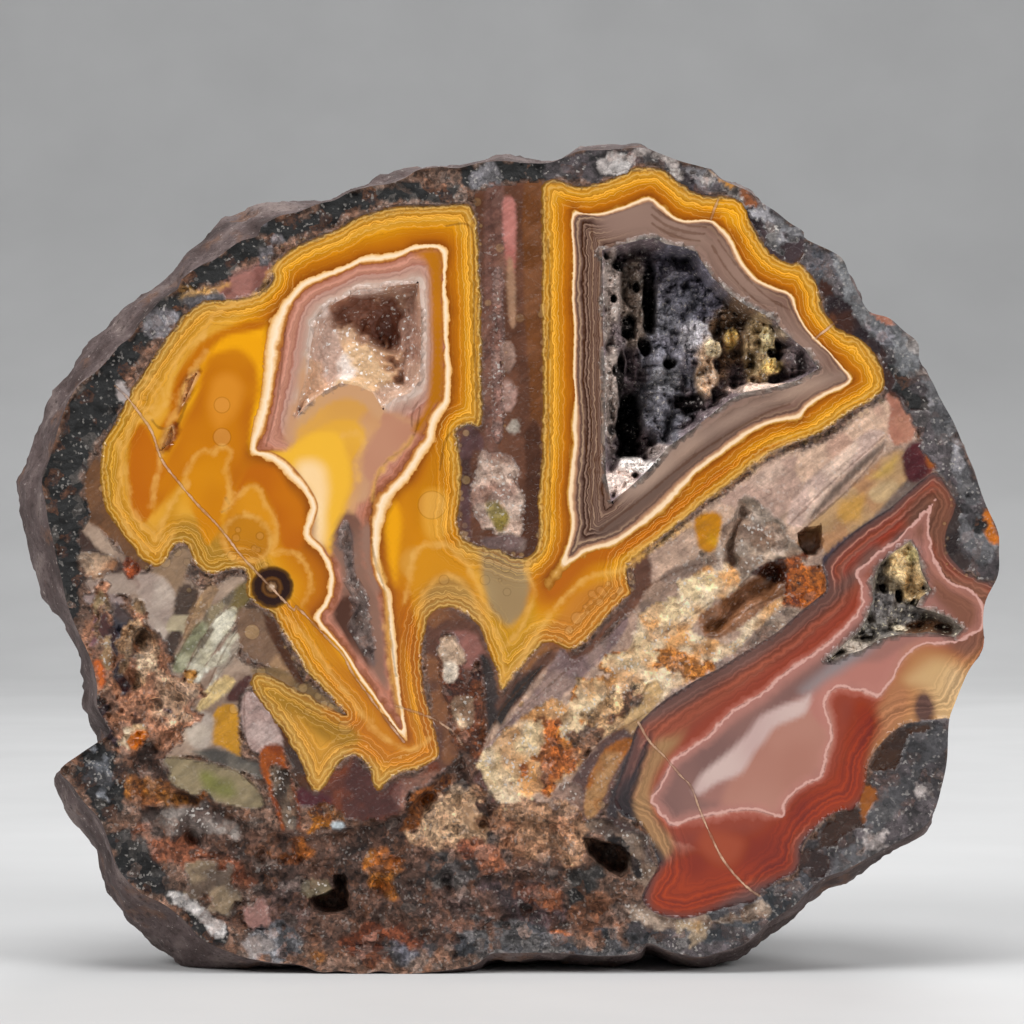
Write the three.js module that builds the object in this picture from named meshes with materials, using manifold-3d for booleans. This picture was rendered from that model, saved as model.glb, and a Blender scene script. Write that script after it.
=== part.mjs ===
// A half nodule of stick agate that stands on a small flat spot, with its polished cut face upright.
// Millimetres, +Z up. The polished face looks along -Y, and the rough back is domed.
// The origin is under the middle of the stone, on the surface that it stands on.

import * as THREE from 'three';
import { mergeVertices } from 'three/addons/utils/BufferGeometryUtils.js';
import Module from 'manifold-3d';

const wasm = await Module();
wasm.setup();

// Driving dimensions
const DEPTH = 38;
const BELLY_DEPTH = 9;
const DOME_POWER = 2.4;
const BACK_CAP = 0.12;
const BULGE_GAIN = 1.25;
const BULGE_BASE = 0.3;
const FLAT_SPOT_DIP = 2.3;
const FLAT_SPOT_REACH = 34;
const DIP_TOP = 40;
const CENTRE_LOW = 12;
const CENTRE_RISE = 20;
const RIM_LUMP = 0.3;
const BACK_LUMP = 2;
const LUMPS_START = 3;
const LUMPS_FULL = 16;
const SMOOTH_REACH = 7;
const SMOOTH_FROM = 6;
const SMOOTH_TO = 22;
const CRUST_GAP = 0.3;
const CUT_CLEARANCE = 1;
const RING_DEPTHS = [0, 2, 5, 9, 14, 19, 24, 28.5, 32, 35, 37, 38];

// Rim of the polished face, clockwise from the left end: x, z and how far the rough outside
// of the rind shows beyond the face there
const RIM = [
  [-46.4, 47.4, 3.1], [-46.7, 49.4, 2.5], [-45.9, 51.6, 2.2], [-45.4, 53.4, 2.0],
  [-44.8, 55.4, 1.9], [-44.0, 57.4, 2.1], [-43.0, 58.9, 1.7], [-41.1, 60.4, 2.6],
  [-39.7, 61.9, 2.8], [-38.9, 62.9, 2.6], [-37.8, 63.7, 2.7], [-36.8, 65.2, 2.4],
  [-35.7, 66.4, 2.2], [-34.7, 67.5, 2.0], [-33.1, 68.5, 2.1], [-32.7, 69.5, 1.7],
  [-30.9, 70.8, 1.9], [-29.5, 71.4, 2.2], [-28.3, 72.3, 2.4], [-26.8, 73.3, 2.7],
  [-25.1, 73.8, 3.0], [-24.7, 74.8, 2.3], [-22.9, 75.8, 1.6], [-21.1, 76.2, 1.3],
  [-19.1, 77.0, 0.7], [-17.4, 77.4, 0.6], [-15.9, 78.2, 0.5], [-13.7, 78.8, 0.6],
  [-12.1, 79.0, 1.2], [-10.4, 79.6, 1.2], [-9.1, 80.4, 0.6], [-6.9, 80.7, 0.7],
  [-5.1, 80.6, 1.0], [-2.9, 81.1, 0.8], [-0.6, 81.3, 1.1], [1.6, 81.1, 0.9],
  [3.9, 81.1, 0.5], [5.4, 81.6, 0.3], [7.1, 82.3, 0.8], [9.6, 82.4, 0.9],
  [12.6, 82.6, 0.8], [14.1, 82.4, 0.4], [17.1, 81.3, 0.4], [19.9, 80.5, 0.3],
  [21.3, 79.4, 0.4], [23.9, 78.3, 0.5], [24.9, 77.4, 0.3], [26.6, 76.3, 0.3],
  [28.1, 75.1, 0.3], [29.4, 74.3, 0.3], [29.7, 73.5, 0.2], [32.4, 72.2, 0.3],
  [33.5, 71.3, 0.3], [34.2, 69.4, 0.4], [35.1, 67.7, 0.4], [36.1, 66.2, 0.3],
  [38.0, 65.6, 0.4], [39.5, 64.3, 0.3], [40.9, 63.1, 0.4], [41.1, 61.3, 0.3],
  [42.4, 59.1, 0.3], [43.2, 57.4, 0.3], [44.5, 55.1, 0.3], [45.6, 52.4, 0.3],
  [46.7, 49.6, 0.4], [47.7, 46.9, 0.4], [48.9, 44.2, 0.4], [49.0, 42.2, 0.4],
  [48.9, 39.9, 0.3], [47.7, 37.4, 0.2], [47.4, 35.4, 0.2], [47.4, 32.6, 0.2],
  [45.9, 30.2, 0.3], [44.6, 27.1, 0.3], [44.0, 25.2, 0.2], [43.8, 21.4, 0.3],
  [43.3, 18.9, 0.5], [42.5, 16.2, 0.7], [41.3, 14.6, 1.0], [38.6, 13.1, 0.8],
  [35.9, 11.6, 1.0], [33.6, 10.4, 1.0], [31.5, 9.6, 0.8], [29.7, 8.1, 0.7],
  [28.6, 6.9, 0.6], [26.3, 5.4, 0.6], [24.6, 3.9, 0.6], [23.3, 2.9, 0.6],
  [21.1, 2.2, 0.6], [19.1, 1.7, 0.5], [16.3, 2.2, 0.4], [13.9, 3.1, 0.3],
  [12.9, 2.1, 0.3], [9.1, 1.8, 0.3], [5.1, 2.1, 0.3], [0.3, 2.1, 0.3],
  [-1.9, 2.0, 0.2], [-3.5, 0.9, 0.2], [-6.9, 0.3, 0.1], [-10.9, 0.0, 0.1],
  [-12.9, 0.3, 0.1], [-14.7, 0.0, 0.1], [-16.9, 0.3, 0.1], [-18.9, 0.2, 0.1],
  [-20.9, 0.9, 0.2], [-23.4, 1.1, 0.5], [-25.1, 1.4, 0.6], [-26.9, 1.8, 1.4],
  [-30.4, 3.3, 2.4], [-32.4, 5.3, 3.4], [-34.4, 6.9, 3.4], [-36.9, 8.2, 2.6],
  [-38.9, 10.3, 2.1], [-39.9, 12.9, 2.0], [-40.9, 15.4, 2.2], [-42.5, 17.2, 2.2],
  [-43.9, 19.1, 1.6], [-44.9, 20.4, 1.0], [-42.9, 22.0, 0.6], [-41.1, 23.2, 0.4],
  [-39.9, 24.1, 0.4], [-40.5, 25.4, 1.2], [-41.2, 26.9, 1.8], [-41.2, 28.9, 1.9],
  [-41.8, 31.4, 1.7], [-42.7, 33.4, 1.3], [-43.6, 35.4, 1.3], [-44.3, 37.4, 2.0],
  [-44.7, 39.4, 2.7], [-45.2, 41.4, 3.1], [-45.6, 43.4, 3.3], [-46.1, 45.4, 3.3],
];

// Left hollow, lined with fine sparkling crystals
const DRUSE_OUTLINE = [
  [-19.2, 65.6], [-18.1, 66.8], [-16.4, 67.6], [-15.2, 68.4], [-12.9, 68.6], [-10.9, 68.9],
  [-9.0, 69.1], [-8.8, 66.4], [-8.8, 62.9], [-8.9, 59.4], [-9.9, 58.1], [-11.4, 57.6],
  [-12.7, 56.5], [-13.6, 58.1], [-15.1, 58.8], [-16.9, 59.1], [-18.4, 58.3], [-20.3, 56.8],
  [-21.5, 55.4], [-21.0, 57.6], [-20.1, 60.2], [-19.8, 62.9],
];
const DRUSE_POCKET = 9;
const DRUSE_FLOOR = 7.4;
const DRUSE_DOME = { x: -15.4, z: 60.6, radius: 4.0, height: 4.2 };

// Right hollow, the large one, with a pitted wall, grey lumps and deep holes
const CAVITY_OUTLINE = [
  [9.3, 72.4], [11.1, 72.9], [13.1, 73.4], [14.4, 73.6], [15.7, 73.0], [17.4, 72.7],
  [18.7, 72.2], [19.5, 70.9], [20.4, 69.6], [22.1, 68.0], [23.6, 66.9], [25.1, 66.2],
  [26.6, 65.4], [27.7, 64.0], [29.6, 62.5], [30.9, 60.5], [29.1, 59.5], [26.1, 58.6],
  [23.6, 58.2], [21.9, 57.3], [19.9, 55.7], [18.1, 54.3], [16.0, 52.8], [14.0, 50.5],
  [12.0, 48.6], [10.2, 47.2], [9.7, 49.9], [9.6, 54.4], [9.6, 58.9], [9.4, 64.4],
  [9.4, 68.4],
];
const CAVITY_POCKET = 13;
const CAVITY_FLOOR = 8.6;

// Lumps of the large hollow: x, z, radius, height
const CAVITY_LUMPS = [
  [18.1, 64.4, 2.6, 3.0], [20.3, 62.4, 1.5, 3.4], [20.8, 59.4, 1.3, 2.6], [26.4, 62.6, 2.6, 3.0],
  [14.6, 55.2, 2.4, 3.0], [16.0, 59.6, 2.2, 2.4], [17.2, 69.0, 2.3, 2.4], [23.2, 63.8, 1.8, 2.2],
  [11.6, 64.2, 1.6, 2.8], [11.4, 59.8, 1.4, 2.6], [12.2, 50.8, 1.5, 2.0],
];

// Deep holes of the large hollow: x, z, half width, half height, depth below the floor
const CAVITY_HOLES = [
  [14.2, 68.2, 1.1, 3.6, 3.6], [11.9, 55.4, 1.2, 2.6, 3.6], [18.3, 57.2, 1.5, 1.3, 3.0],
];

// Small hollow near the right edge
const SMALL_OUTLINE = [
  [40.1, 43.3], [40.9, 42.2], [41.2, 40.4], [42.2, 38.4], [41.2, 37.7], [40.7, 36.7],
  [42.6, 36.2], [44.1, 35.6], [45.4, 34.5], [44.6, 33.7], [42.1, 34.2], [39.1, 34.0],
  [37.1, 33.5], [35.3, 32.4], [33.3, 31.8], [31.9, 31.3], [33.6, 33.1], [35.1, 34.3],
  [35.9, 35.9], [36.4, 37.4], [36.4, 39.4], [37.1, 41.1], [38.6, 42.3],
];
const SMALL_POCKET = 5.5;
const SMALL_FLOOR = 4;

// Bare hollows in the sticks and the matrix: outline and depth
const OPEN_POCKETS = [
  { depth: 4, outline: [[28.8, 44.1], [29.7, 44.7], [31.3, 44.9], [31.4, 42.6], [30.9, 41.8],
    [29.6, 41.8], [29.0, 42.6]] },
  { depth: 2.4, outline: [[24.3, 40.1], [25.6, 41.1], [27.6, 41.4], [27.9, 40.6], [27.8, 39.2],
    [26.6, 37.8], [24.3, 36.8], [23.1, 35.6], [21.9, 34.6], [20.9, 33.8], [19.4, 33.8],
    [18.9, 34.8], [20.6, 36.0], [21.3, 37.4], [22.9, 38.8]] },
  { depth: 1.8, outline: [[21.3, 42.9], [22.1, 44.2], [22.6, 46.4], [23.2, 47.4], [24.8, 46.1],
    [23.6, 45.2], [23.1, 43.9], [22.9, 42.4], [23.6, 41.4], [23.1, 40.6], [22.2, 40.2],
    [21.3, 40.9]] },
  { depth: 6, outline: [[-17.9, 10.1], [-16.4, 10.1], [-15.9, 8.9], [-15.6, 6.2], [-16.4, 5.6],
    [-18.4, 5.3], [-20.1, 5.9], [-20.4, 7.4], [-19.1, 8.1], [-17.9, 8.6]] },
  { depth: 6, outline: [[7.0, 13.8], [8.6, 13.7], [10.9, 13.1], [12.4, 12.2], [12.6, 11.2],
    [12.3, 9.9], [11.3, 9.1], [9.9, 9.7], [8.8, 10.6], [7.9, 11.7]] },
  { depth: 0.8, outline: [[-31.2, 60.1], [-32.3, 59.4], [-32.7, 57.9], [-32.9, 56.4],
    [-32.1, 57.6], [-31.7, 58.9]] },
  { depth: 0.8, outline: [[-33.7, 54.9], [-34.4, 53.9], [-34.8, 52.4], [-33.9, 52.9],
    [-33.4, 53.9]] },
];

// Rough matrix, a little below the polish, with ledges and pits
const MATRIX_OUTLINE = [
  [-40.6, 31.0], [-38.6, 34.5], [-36.2, 35.4], [-34.4, 33.0], [-33.6, 29.6], [-31.6, 27.6],
  [-32.6, 24.0], [-34.6, 21.4], [-33.4, 19.0], [-29.2, 17.2], [-25.4, 15.2], [-21.0, 14.0],
  [-16.0, 14.8], [-11.6, 16.2], [-7.4, 19.4], [-4.6, 22.6], [-2.8, 18.6], [0.6, 15.8],
  [5.4, 15.6], [6.0, 12.8], [8.4, 8.4], [11.6, 7.6], [11.4, 4.0], [5.0, 3.6],
  [-1.4, 3.8], [-6.0, 2.0], [-14.8, 1.6], [-21.4, 2.6], [-27.4, 4.4], [-31.0, 8.2],
  [-34.8, 12.2], [-37.4, 15.8], [-38.2, 20.4], [-38.4, 26.0],
];
const MATRIX_STEP = 2.4;
const MATRIX_LEAST = 0.25;
const MATRIX_RANGE = 1.1;
const MATRIX_LEDGE = 0.6;
const MATRIX_PITS = [
  [-36.8, 33.2, 1.3, 1.6], [-38.0, 29.2, 1.0, 1.2], [-35.6, 26.8, 1.0, 1.2], [-8.2, 17.4, 1.0, 1.6],
  [-2.6, 15.0, 0.8, 1.4], [-12.6, 8.2, 1.1, 1.4], [-6.2, 9.0, 0.9, 1.2], [1.6, 6.4, 0.9, 1.2],
  [-25.0, 11.6, 1.1, 1.2], [-31.8, 13.4, 1.0, 1.2],
];

// Crystals: how many stand on each crust, and their size
const CRYSTAL_SIDES = 6;
const DRUSE_CRYSTALS = { count: 34, radius: 0.5, height: 1.3, lean: 0.5 };
const CAVITY_CRYSTALS = { count: 44, radius: 0.62, height: 1.5, lean: 0.6 };
const SMALL_CRYSTALS = { count: 14, radius: 0.5, height: 1.3, lean: 0.5 };
const CRUST_STEP = 1.15;
const CRUST_RIM = 0.3;
const CRUST_WALL = 1.8;
const CRUST_GRAIN = 0.7;
const GRAIN_SIZE = 0.35;

const FRONT = -DEPTH / 2;

const stoneMaterial = new THREE.MeshStandardMaterial({
  name: 'banded_agate', color: 0xb5772e, roughness: 0.25, metalness: 0,
});
const druseMaterial = new THREE.MeshStandardMaterial({
  name: 'sparkling_druse', color: 0xc59c80, roughness: 0.4, metalness: 0,
});
const cavityMaterial = new THREE.MeshStandardMaterial({
  name: 'dark_crust', color: 0x5c5650, roughness: 0.6, metalness: 0,
});
const smallMaterial = new THREE.MeshStandardMaterial({
  name: 'cream_crust', color: 0xa99a72, roughness: 0.55, metalness: 0,
});

// The same number from 0 to 1 for the same index each run
function spread(index) {
  const value = Math.sin(index * 127.1 + 311.7) * 43758.5453;
  return value - Math.floor(value);
}

// Smooth step from 0 at low to 1 at high
function ease(low, high, value) {
  const t = THREE.MathUtils.clamp((value - low) / (high - low), 0, 1);
  return t * t * (3 - 2 * t);
}

// Broad lumps of the rough outside, from -1 to 1
function lumps(x, depth, z) {
  const broad = Math.sin(x * 0.17 + depth * 0.11 + 1.3) * Math.sin(depth * 0.23 - z * 0.13 + 0.4);
  const middle = Math.sin(x * 0.31 - z * 0.24 + 2.1) * Math.sin(depth * 0.34 + x * 0.12 + 1.1);
  const small = Math.sin(x * 0.53 + z * 0.37) * Math.sin(depth * 0.61 - z * 0.43 + 0.8);
  return 0.4 * broad + 0.35 * middle + 0.25 * small;
}

function toSolid(geometry) {
  const bare = geometry.index ? geometry.toNonIndexed() : geometry.clone();
  bare.deleteAttribute('normal');
  bare.deleteAttribute('uv');
  const merged = mergeVertices(bare, 1e-5);
  const mesh = new wasm.Mesh({
    numProp: 3,
    vertProperties: new Float32Array(merged.attributes.position.array),
    triVerts: new Uint32Array(merged.index.array),
  });
  return new wasm.Manifold(mesh);
}

function toMesh(solid, name, material) {
  const made = solid.getMesh();
  const geometry = new THREE.BufferGeometry();
  geometry.setAttribute('position', new THREE.BufferAttribute(new Float32Array(made.vertProperties), 3));
  geometry.setIndex(new THREE.BufferAttribute(new Uint32Array(made.triVerts), 1));
  geometry.computeVertexNormals();
  const mesh = new THREE.Mesh(geometry, material);
  mesh.name = name;
  return mesh;
}

// The triangles of a flat end, facing forwards or backwards
function flatEnd(ring, first, forwards) {
  const outline = ring.map((p) => new THREE.Vector2(p.x, p.z));
  const triangles = THREE.ShapeUtils.triangulateShape(outline, []);
  const areas = triangles.map(([a, b, c]) => THREE.ShapeUtils.area([outline[a], outline[b], outline[c]]));
  const anticlockwise = areas.reduce((sum, area) => sum + area) > 0;
  return triangles.flatMap(([a, b, c]) => (
    anticlockwise === forwards ? [first + a, first + b, first + c] : [first + a, first + c, first + b]
  ));
}

// A closed skin through rings of points that run clockwise, with flat ends
function loft(rings) {
  const count = rings[0].length;
  const points = rings.flat();
  const faces = [];
  for (let ring = 0; ring < rings.length - 1; ring += 1) {
    for (let i = 0; i < count; i += 1) {
      const next = (i + 1) % count;
      const a = ring * count + i;
      const b = ring * count + next;
      const c = a + count;
      const d = b + count;
      faces.push(a, b, c, b, d, c);
    }
  }
  const last = (rings.length - 1) * count;
  faces.push(...flatEnd(rings[0], 0, true));
  faces.push(...flatEnd(rings.at(-1), last, false));
  const geometry = new THREE.BufferGeometry().setFromPoints(points);
  geometry.setIndex(faces);
  return geometry;
}

// A straight prism over an outline on the face, from one depth behind the face to another
function prism(outline, from, to) {
  const shape = new THREE.Shape(outline.map(([x, z]) => new THREE.Vector2(x, z)));
  const geometry = new THREE.ExtrudeGeometry(shape, { depth: to - from, bevelEnabled: false, steps: 1 });
  geometry.rotateX(Math.PI / 2);
  geometry.translate(0, FRONT + to, 0);
  return geometry;
}

// The outline moved inwards by a gap
function inset(outline, gap) {
  const area = THREE.ShapeUtils.area(outline.map(([x, z]) => new THREE.Vector2(x, z)));
  const turn = Math.sign(area);
  return outline.map((point, i) => {
    const before = outline.at(i - 1);
    const after = outline[(i + 1) % outline.length];
    const inward = new THREE.Vector2(0, 0);
    for (const [from, to] of [[before, point], [point, after]]) {
      const side = new THREE.Vector2(from[1] - to[1], to[0] - from[0]).normalize();
      inward.addScaledVector(side, turn);
    }
    const spare = Math.max(inward.lengthSq() / 2, 0.35);
    inward.multiplyScalar(gap / spare);
    return [point[0] + inward.x, point[1] + inward.y];
  });
}

// Distance from a place on the face to the nearest side of an outline
function edgeDistance(x, z, outline) {
  const place = new THREE.Vector3(x, 0, z);
  const nearest = new THREE.Vector3();
  let least = Infinity;
  outline.forEach((point, i) => {
    const after = outline[(i + 1) % outline.length];
    const side = new THREE.Line3(new THREE.Vector3(point[0], 0, point[1]),
      new THREE.Vector3(after[0], 0, after[1]));
    side.closestPointToPoint(place, true, nearest);
    least = Math.min(least, nearest.distanceTo(place));
  });
  return least;
}

// A block over the box of an outline, whose rough side follows a depth function.
// roughFront puts that side in front and keeps the back flat at the other depth.
function reliefBlock(outline, step, depthAt, flatDepth, roughFront) {
  const box = new THREE.Box2().setFromPoints(outline.map(([x, z]) => new THREE.Vector2(x, z)));
  box.expandByScalar(step / 2);
  const columns = Math.ceil((box.max.x - box.min.x) / step) + 1;
  const rows = Math.ceil((box.max.y - box.min.y) / step) + 1;
  const rough = [];
  const flat = [];
  for (let row = 0; row < rows; row += 1) {
    for (let column = 0; column < columns; column += 1) {
      const inside = row > 0 && column > 0 && row < rows - 1 && column < columns - 1;
      const shift = inside ? 0.5 * step : 0;
      const index = row * columns + column;
      const x = box.min.x + column * step + shift * (spread(index) - 0.5);
      const z = box.min.y + row * step + shift * (spread(index + 0.37) - 0.5);
      rough.push(new THREE.Vector3(x, FRONT + depthAt(x, z), z));
      flat.push(new THREE.Vector3(x, FRONT + flatDepth, z));
    }
  }
  const front = roughFront ? rough : flat;
  const back = roughFront ? flat : rough;
  const count = front.length;
  const faces = [];
  const border = [];
  for (let row = 0; row < rows - 1; row += 1) {
    for (let column = 0; column < columns - 1; column += 1) {
      const a = row * columns + column;
      const b = a + 1;
      const c = a + columns;
      const d = c + 1;
      faces.push(a, b, d, a, d, c);
      faces.push(count + a, count + d, count + b, count + a, count + c, count + d);
    }
  }
  for (let column = 0; column < columns - 1; column += 1) {
    border.push([column, column + 1]);
    border.push([(rows - 1) * columns + column + 1, (rows - 1) * columns + column]);
  }
  for (let row = 0; row < rows - 1; row += 1) {
    border.push([(row + 1) * columns, row * columns]);
    border.push([row * columns + columns - 1, (row + 1) * columns + columns - 1]);
  }
  for (const [a, b] of border) {
    faces.push(b, a, count + a, b, count + a, count + b);
  }
  const geometry = new THREE.BufferGeometry().setFromPoints([...front, ...back]);
  geometry.setIndex(faces);
  return toSolid(geometry);
}

// The rim with its notches and corners worn away: each point is the mean of its neighbours
function wornRim() {
  const span = 2 * SMOOTH_REACH + 1;
  return RIM.map((_, i) => {
    const sum = [0, 0, 0];
    for (let step = -SMOOTH_REACH; step <= SMOOTH_REACH; step += 1) {
      const near = RIM[(i + step + RIM.length) % RIM.length];
      near.forEach((value, axis) => {
        sum[axis] += value / span;
      });
    }
    return sum;
  });
}

// The stone before anything is cut: rings from the polished rim to the domed back
function roughStone() {
  const worn = wornRim();
  const rings = RING_DEPTHS.map((depth) => {
    const behindBelly = Math.max(0, (depth - BELLY_DEPTH) / (DEPTH - BELLY_DEPTH));
    const scale = Math.max(BACK_CAP, Math.sqrt(1 - behindBelly ** DOME_POWER));
    const swell = Math.sin(Math.min(1, depth / BELLY_DEPTH) * Math.PI / 2);
    const centreZ = CENTRE_LOW + CENTRE_RISE * (depth / DEPTH) ** 3;
    const dip = FLAT_SPOT_DIP * Math.sin(Math.PI * Math.min(1, depth / FLAT_SPOT_REACH));
    const lumpSize = THREE.MathUtils.lerp(RIM_LUMP, BACK_LUMP, ease(BELLY_DEPTH, LUMPS_FULL, depth));
    const lumpHeight = lumpSize * ease(0, LUMPS_START, depth);
    const wear = ease(SMOOTH_FROM, SMOOTH_TO, depth);
    return RIM.map((sharp, i) => {
      const [x, z, rind] = sharp.map((value, axis) => THREE.MathUtils.lerp(value, worn[i][axis], wear));
      const outward = new THREE.Vector2(x, z - 42).normalize();
      const bulge = (rind * BULGE_GAIN + BULGE_BASE) * swell;
      const lift = bulge + lumpHeight * lumps(x, depth, z);
      const wideX = (x + outward.x * lift) * scale;
      const wideZ = centreZ + (z + outward.y * lift - centreZ) * scale;
      const low = Math.max(0, 1 - wideZ / DIP_TOP) ** 1.5;
      return new THREE.Vector3(wideX, FRONT + depth, wideZ - dip * low);
    });
  });
  return toSolid(loft(rings));
}

// Everything under the table's surface is cut away, which leaves the flat spot
function flatSpot(solid) {
  const above = new THREE.BoxGeometry(300, 300, 300);
  above.translate(0, 0, 150);
  return solid.intersect(toSolid(above));
}

function cutPocket(stone, outline, depth) {
  return stone.subtract(toSolid(prism(outline, -CUT_CLEARANCE, depth)));
}

function matrixDepth(x, z) {
  const ledge = Math.floor(x / MATRIX_LEDGE) + 13 * Math.floor(z / MATRIX_LEDGE);
  let depth = MATRIX_LEAST + MATRIX_RANGE * spread(ledge);
  for (const [pitX, pitZ, radius, deeper] of MATRIX_PITS) {
    depth += deeper * (1 - ease(0, radius * 1.6, Math.hypot(x - pitX, z - pitZ)));
  }
  return depth;
}

function cutMatrix(stone) {
  const rough = reliefBlock(MATRIX_OUTLINE, MATRIX_STEP, matrixDepth, -CUT_CLEARANCE, false);
  const zone = toSolid(prism(MATRIX_OUTLINE, -2 * CUT_CLEARANCE, DEPTH / 2));
  return stone.subtract(rough.intersect(zone));
}

// Unevenness of a crust, the same all over a small square of the face
function grain(x, z) {
  const square = Math.floor(x / GRAIN_SIZE) + 17 * Math.floor(z / GRAIN_SIZE);
  return CRUST_GRAIN * (spread(square) - 0.5);
}

// How deep the druse lies: a wall round the rim, a hollow, and a low dome in its lower middle
function druseDepth(x, z) {
  const wall = ease(0.2, CRUST_WALL, edgeDistance(x, z, DRUSE_OUTLINE));
  const away = Math.hypot(x - DRUSE_DOME.x, z - DRUSE_DOME.z) / DRUSE_DOME.radius;
  const dome = DRUSE_DOME.height * Math.sqrt(Math.max(0, 1 - away * away));
  return CRUST_RIM + wall * (DRUSE_FLOOR - dome + 0.5 * grain(x, z));
}

// How deep the large hollow's crust lies: wall, floor, rounded lumps and deep holes
function cavityDepth(x, z) {
  const wall = ease(0.2, CRUST_WALL, edgeDistance(x, z, CAVITY_OUTLINE));
  let depth = CAVITY_FLOOR + grain(x, z);
  for (const [lumpX, lumpZ, radius, height] of CAVITY_LUMPS) {
    const away = Math.hypot(x - lumpX, z - lumpZ) / radius;
    depth -= height * Math.sqrt(Math.max(0, 1 - away * away));
  }
  for (const [holeX, holeZ, halfWidth, halfHeight, deeper] of CAVITY_HOLES) {
    const away = Math.hypot((x - holeX) / halfWidth, (z - holeZ) / halfHeight);
    depth += deeper * (1 - ease(0.5, 1.4, away));
  }
  return CRUST_RIM + wall * Math.min(depth, CAVITY_POCKET - 1.2);
}

function smallDepth(x, z) {
  const wall = ease(0.1, 1.3, edgeDistance(x, z, SMALL_OUTLINE));
  return CRUST_RIM + wall * (SMALL_FLOOR - CRUST_RIM + grain(x, z));
}

// One pointed crystal with flat sides, its foot sunk in the crust
function crystal(x, z, depth, radius, height, lean, index) {
  const sunk = height * 0.45;
  const geometry = new THREE.ConeGeometry(radius, height, CRYSTAL_SIDES);
  geometry.rotateY(spread(index) * Math.PI);
  geometry.rotateX(Math.PI);
  geometry.rotateZ(lean * (spread(index + 0.1) - 0.5));
  geometry.rotateX(lean * (spread(index + 0.2) - 0.5));
  geometry.translate(x, FRONT + depth - height / 2 + sunk, z);
  return toSolid(geometry);
}

// A crust that lines a pocket and keeps a gap to its walls and floor, with crystals grown on it
function crust(outline, pocket, depthAt, crystals) {
  const inner = inset(outline, CRUST_GAP);
  const back = pocket - CRUST_GAP;
  const body = reliefBlock(outline, CRUST_STEP, depthAt, back, true);
  let solid = body.intersect(toSolid(prism(inner, -CUT_CLEARANCE, pocket)));
  const box = new THREE.Box2().setFromPoints(outline.map(([x, z]) => new THREE.Vector2(x, z)));
  const shape = outline.map(([x, z]) => new THREE.Vector2(x, z));
  let placed = 0;
  for (let index = 1; placed < crystals.count; index += 1) {
    const x = THREE.MathUtils.lerp(box.min.x, box.max.x, spread(index * 3));
    const z = THREE.MathUtils.lerp(box.min.y, box.max.y, spread(index * 3 + 1));
    const room = 1.5 * crystals.radius + CRUST_GAP;
    if (insideOutline(x, z, shape) && edgeDistance(x, z, outline) > room) {
      const size = 0.7 + 0.6 * spread(index * 3 + 2);
      const depth = depthAt(x, z);
      solid = solid.add(crystal(x, z, depth, crystals.radius * size, crystals.height * size,
        crystals.lean, index));
      placed += 1;
    }
  }
  return solid;
}

function insideOutline(x, z, shape) {
  let inside = false;
  shape.forEach((point, i) => {
    const before = shape.at(i - 1);
    const crosses = (point.y > z) !== (before.y > z);
    if (crosses && x < (before.x - point.x) * (z - point.y) / (before.y - point.y) + point.x) {
      inside = !inside;
    }
  });
  return inside;
}

let stone = flatSpot(roughStone());
stone = cutMatrix(stone);
stone = cutPocket(stone, DRUSE_OUTLINE, DRUSE_POCKET);
stone = cutPocket(stone, CAVITY_OUTLINE, CAVITY_POCKET);
stone = cutPocket(stone, SMALL_OUTLINE, SMALL_POCKET);
for (const { outline, depth } of OPEN_POCKETS) {
  stone = cutPocket(stone, outline, depth);
}

const specimen = new THREE.Group();
specimen.name = 'agate_specimen';
const stoneMesh = toMesh(stone, 'agate_stone', stoneMaterial);
specimen.add(stoneMesh);
specimen.add(toMesh(crust(DRUSE_OUTLINE, DRUSE_POCKET, druseDepth, DRUSE_CRYSTALS),
  'druse_crust', druseMaterial));
specimen.add(toMesh(crust(CAVITY_OUTLINE, CAVITY_POCKET, cavityDepth, CAVITY_CRYSTALS),
  'cavity_crust', cavityMaterial));
specimen.add(toMesh(crust(SMALL_OUTLINE, SMALL_POCKET, smallDepth, SMALL_CRYSTALS),
  'small_vug_crust', smallMaterial));

// The origin goes under the middle of the stone's box
const box = new THREE.Box3().setFromObject(stoneMesh);
specimen.position.set(-(box.min.x + box.max.x) / 2, -(box.min.y + box.max.y) / 2, -box.min.z);

export default specimen;
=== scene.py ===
"""Looks of the agate specimen: the banded face, the rough rind and matrix, and the crystal crusts.

Lengths are millimetres until a mesh is made. Outlines on the face are in tenths of a millimetre,
counted to the right and down, as FACE_COLUMN and FACE_ROW say.
"""

import itertools
import math

import bpy
import numpy as np
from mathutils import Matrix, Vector
from mathutils.geometry import delaunay_2d_cdt


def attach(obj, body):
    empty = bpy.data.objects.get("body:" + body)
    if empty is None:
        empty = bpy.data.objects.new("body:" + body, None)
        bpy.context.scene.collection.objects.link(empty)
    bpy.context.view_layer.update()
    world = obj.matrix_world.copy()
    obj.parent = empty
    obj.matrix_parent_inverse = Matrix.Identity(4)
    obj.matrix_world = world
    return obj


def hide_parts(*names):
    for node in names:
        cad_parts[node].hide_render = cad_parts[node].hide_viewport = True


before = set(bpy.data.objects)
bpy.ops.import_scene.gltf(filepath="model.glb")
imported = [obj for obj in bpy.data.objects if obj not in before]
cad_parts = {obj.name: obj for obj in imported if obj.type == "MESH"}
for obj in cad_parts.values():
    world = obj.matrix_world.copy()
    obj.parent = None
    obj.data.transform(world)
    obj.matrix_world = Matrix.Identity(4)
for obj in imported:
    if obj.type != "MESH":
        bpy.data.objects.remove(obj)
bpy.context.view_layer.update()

# Frame of the face: the column and row that stand for x = 0 and z = 0 before the sideways move
MM = 0.001
FACE_COLUMN = 509
FACE_ROW = 974
UNITS_PER_MM = 10
SIDEWAYS = 0.3116
FRONT = -19.0
DEPTH = 38.0

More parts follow.
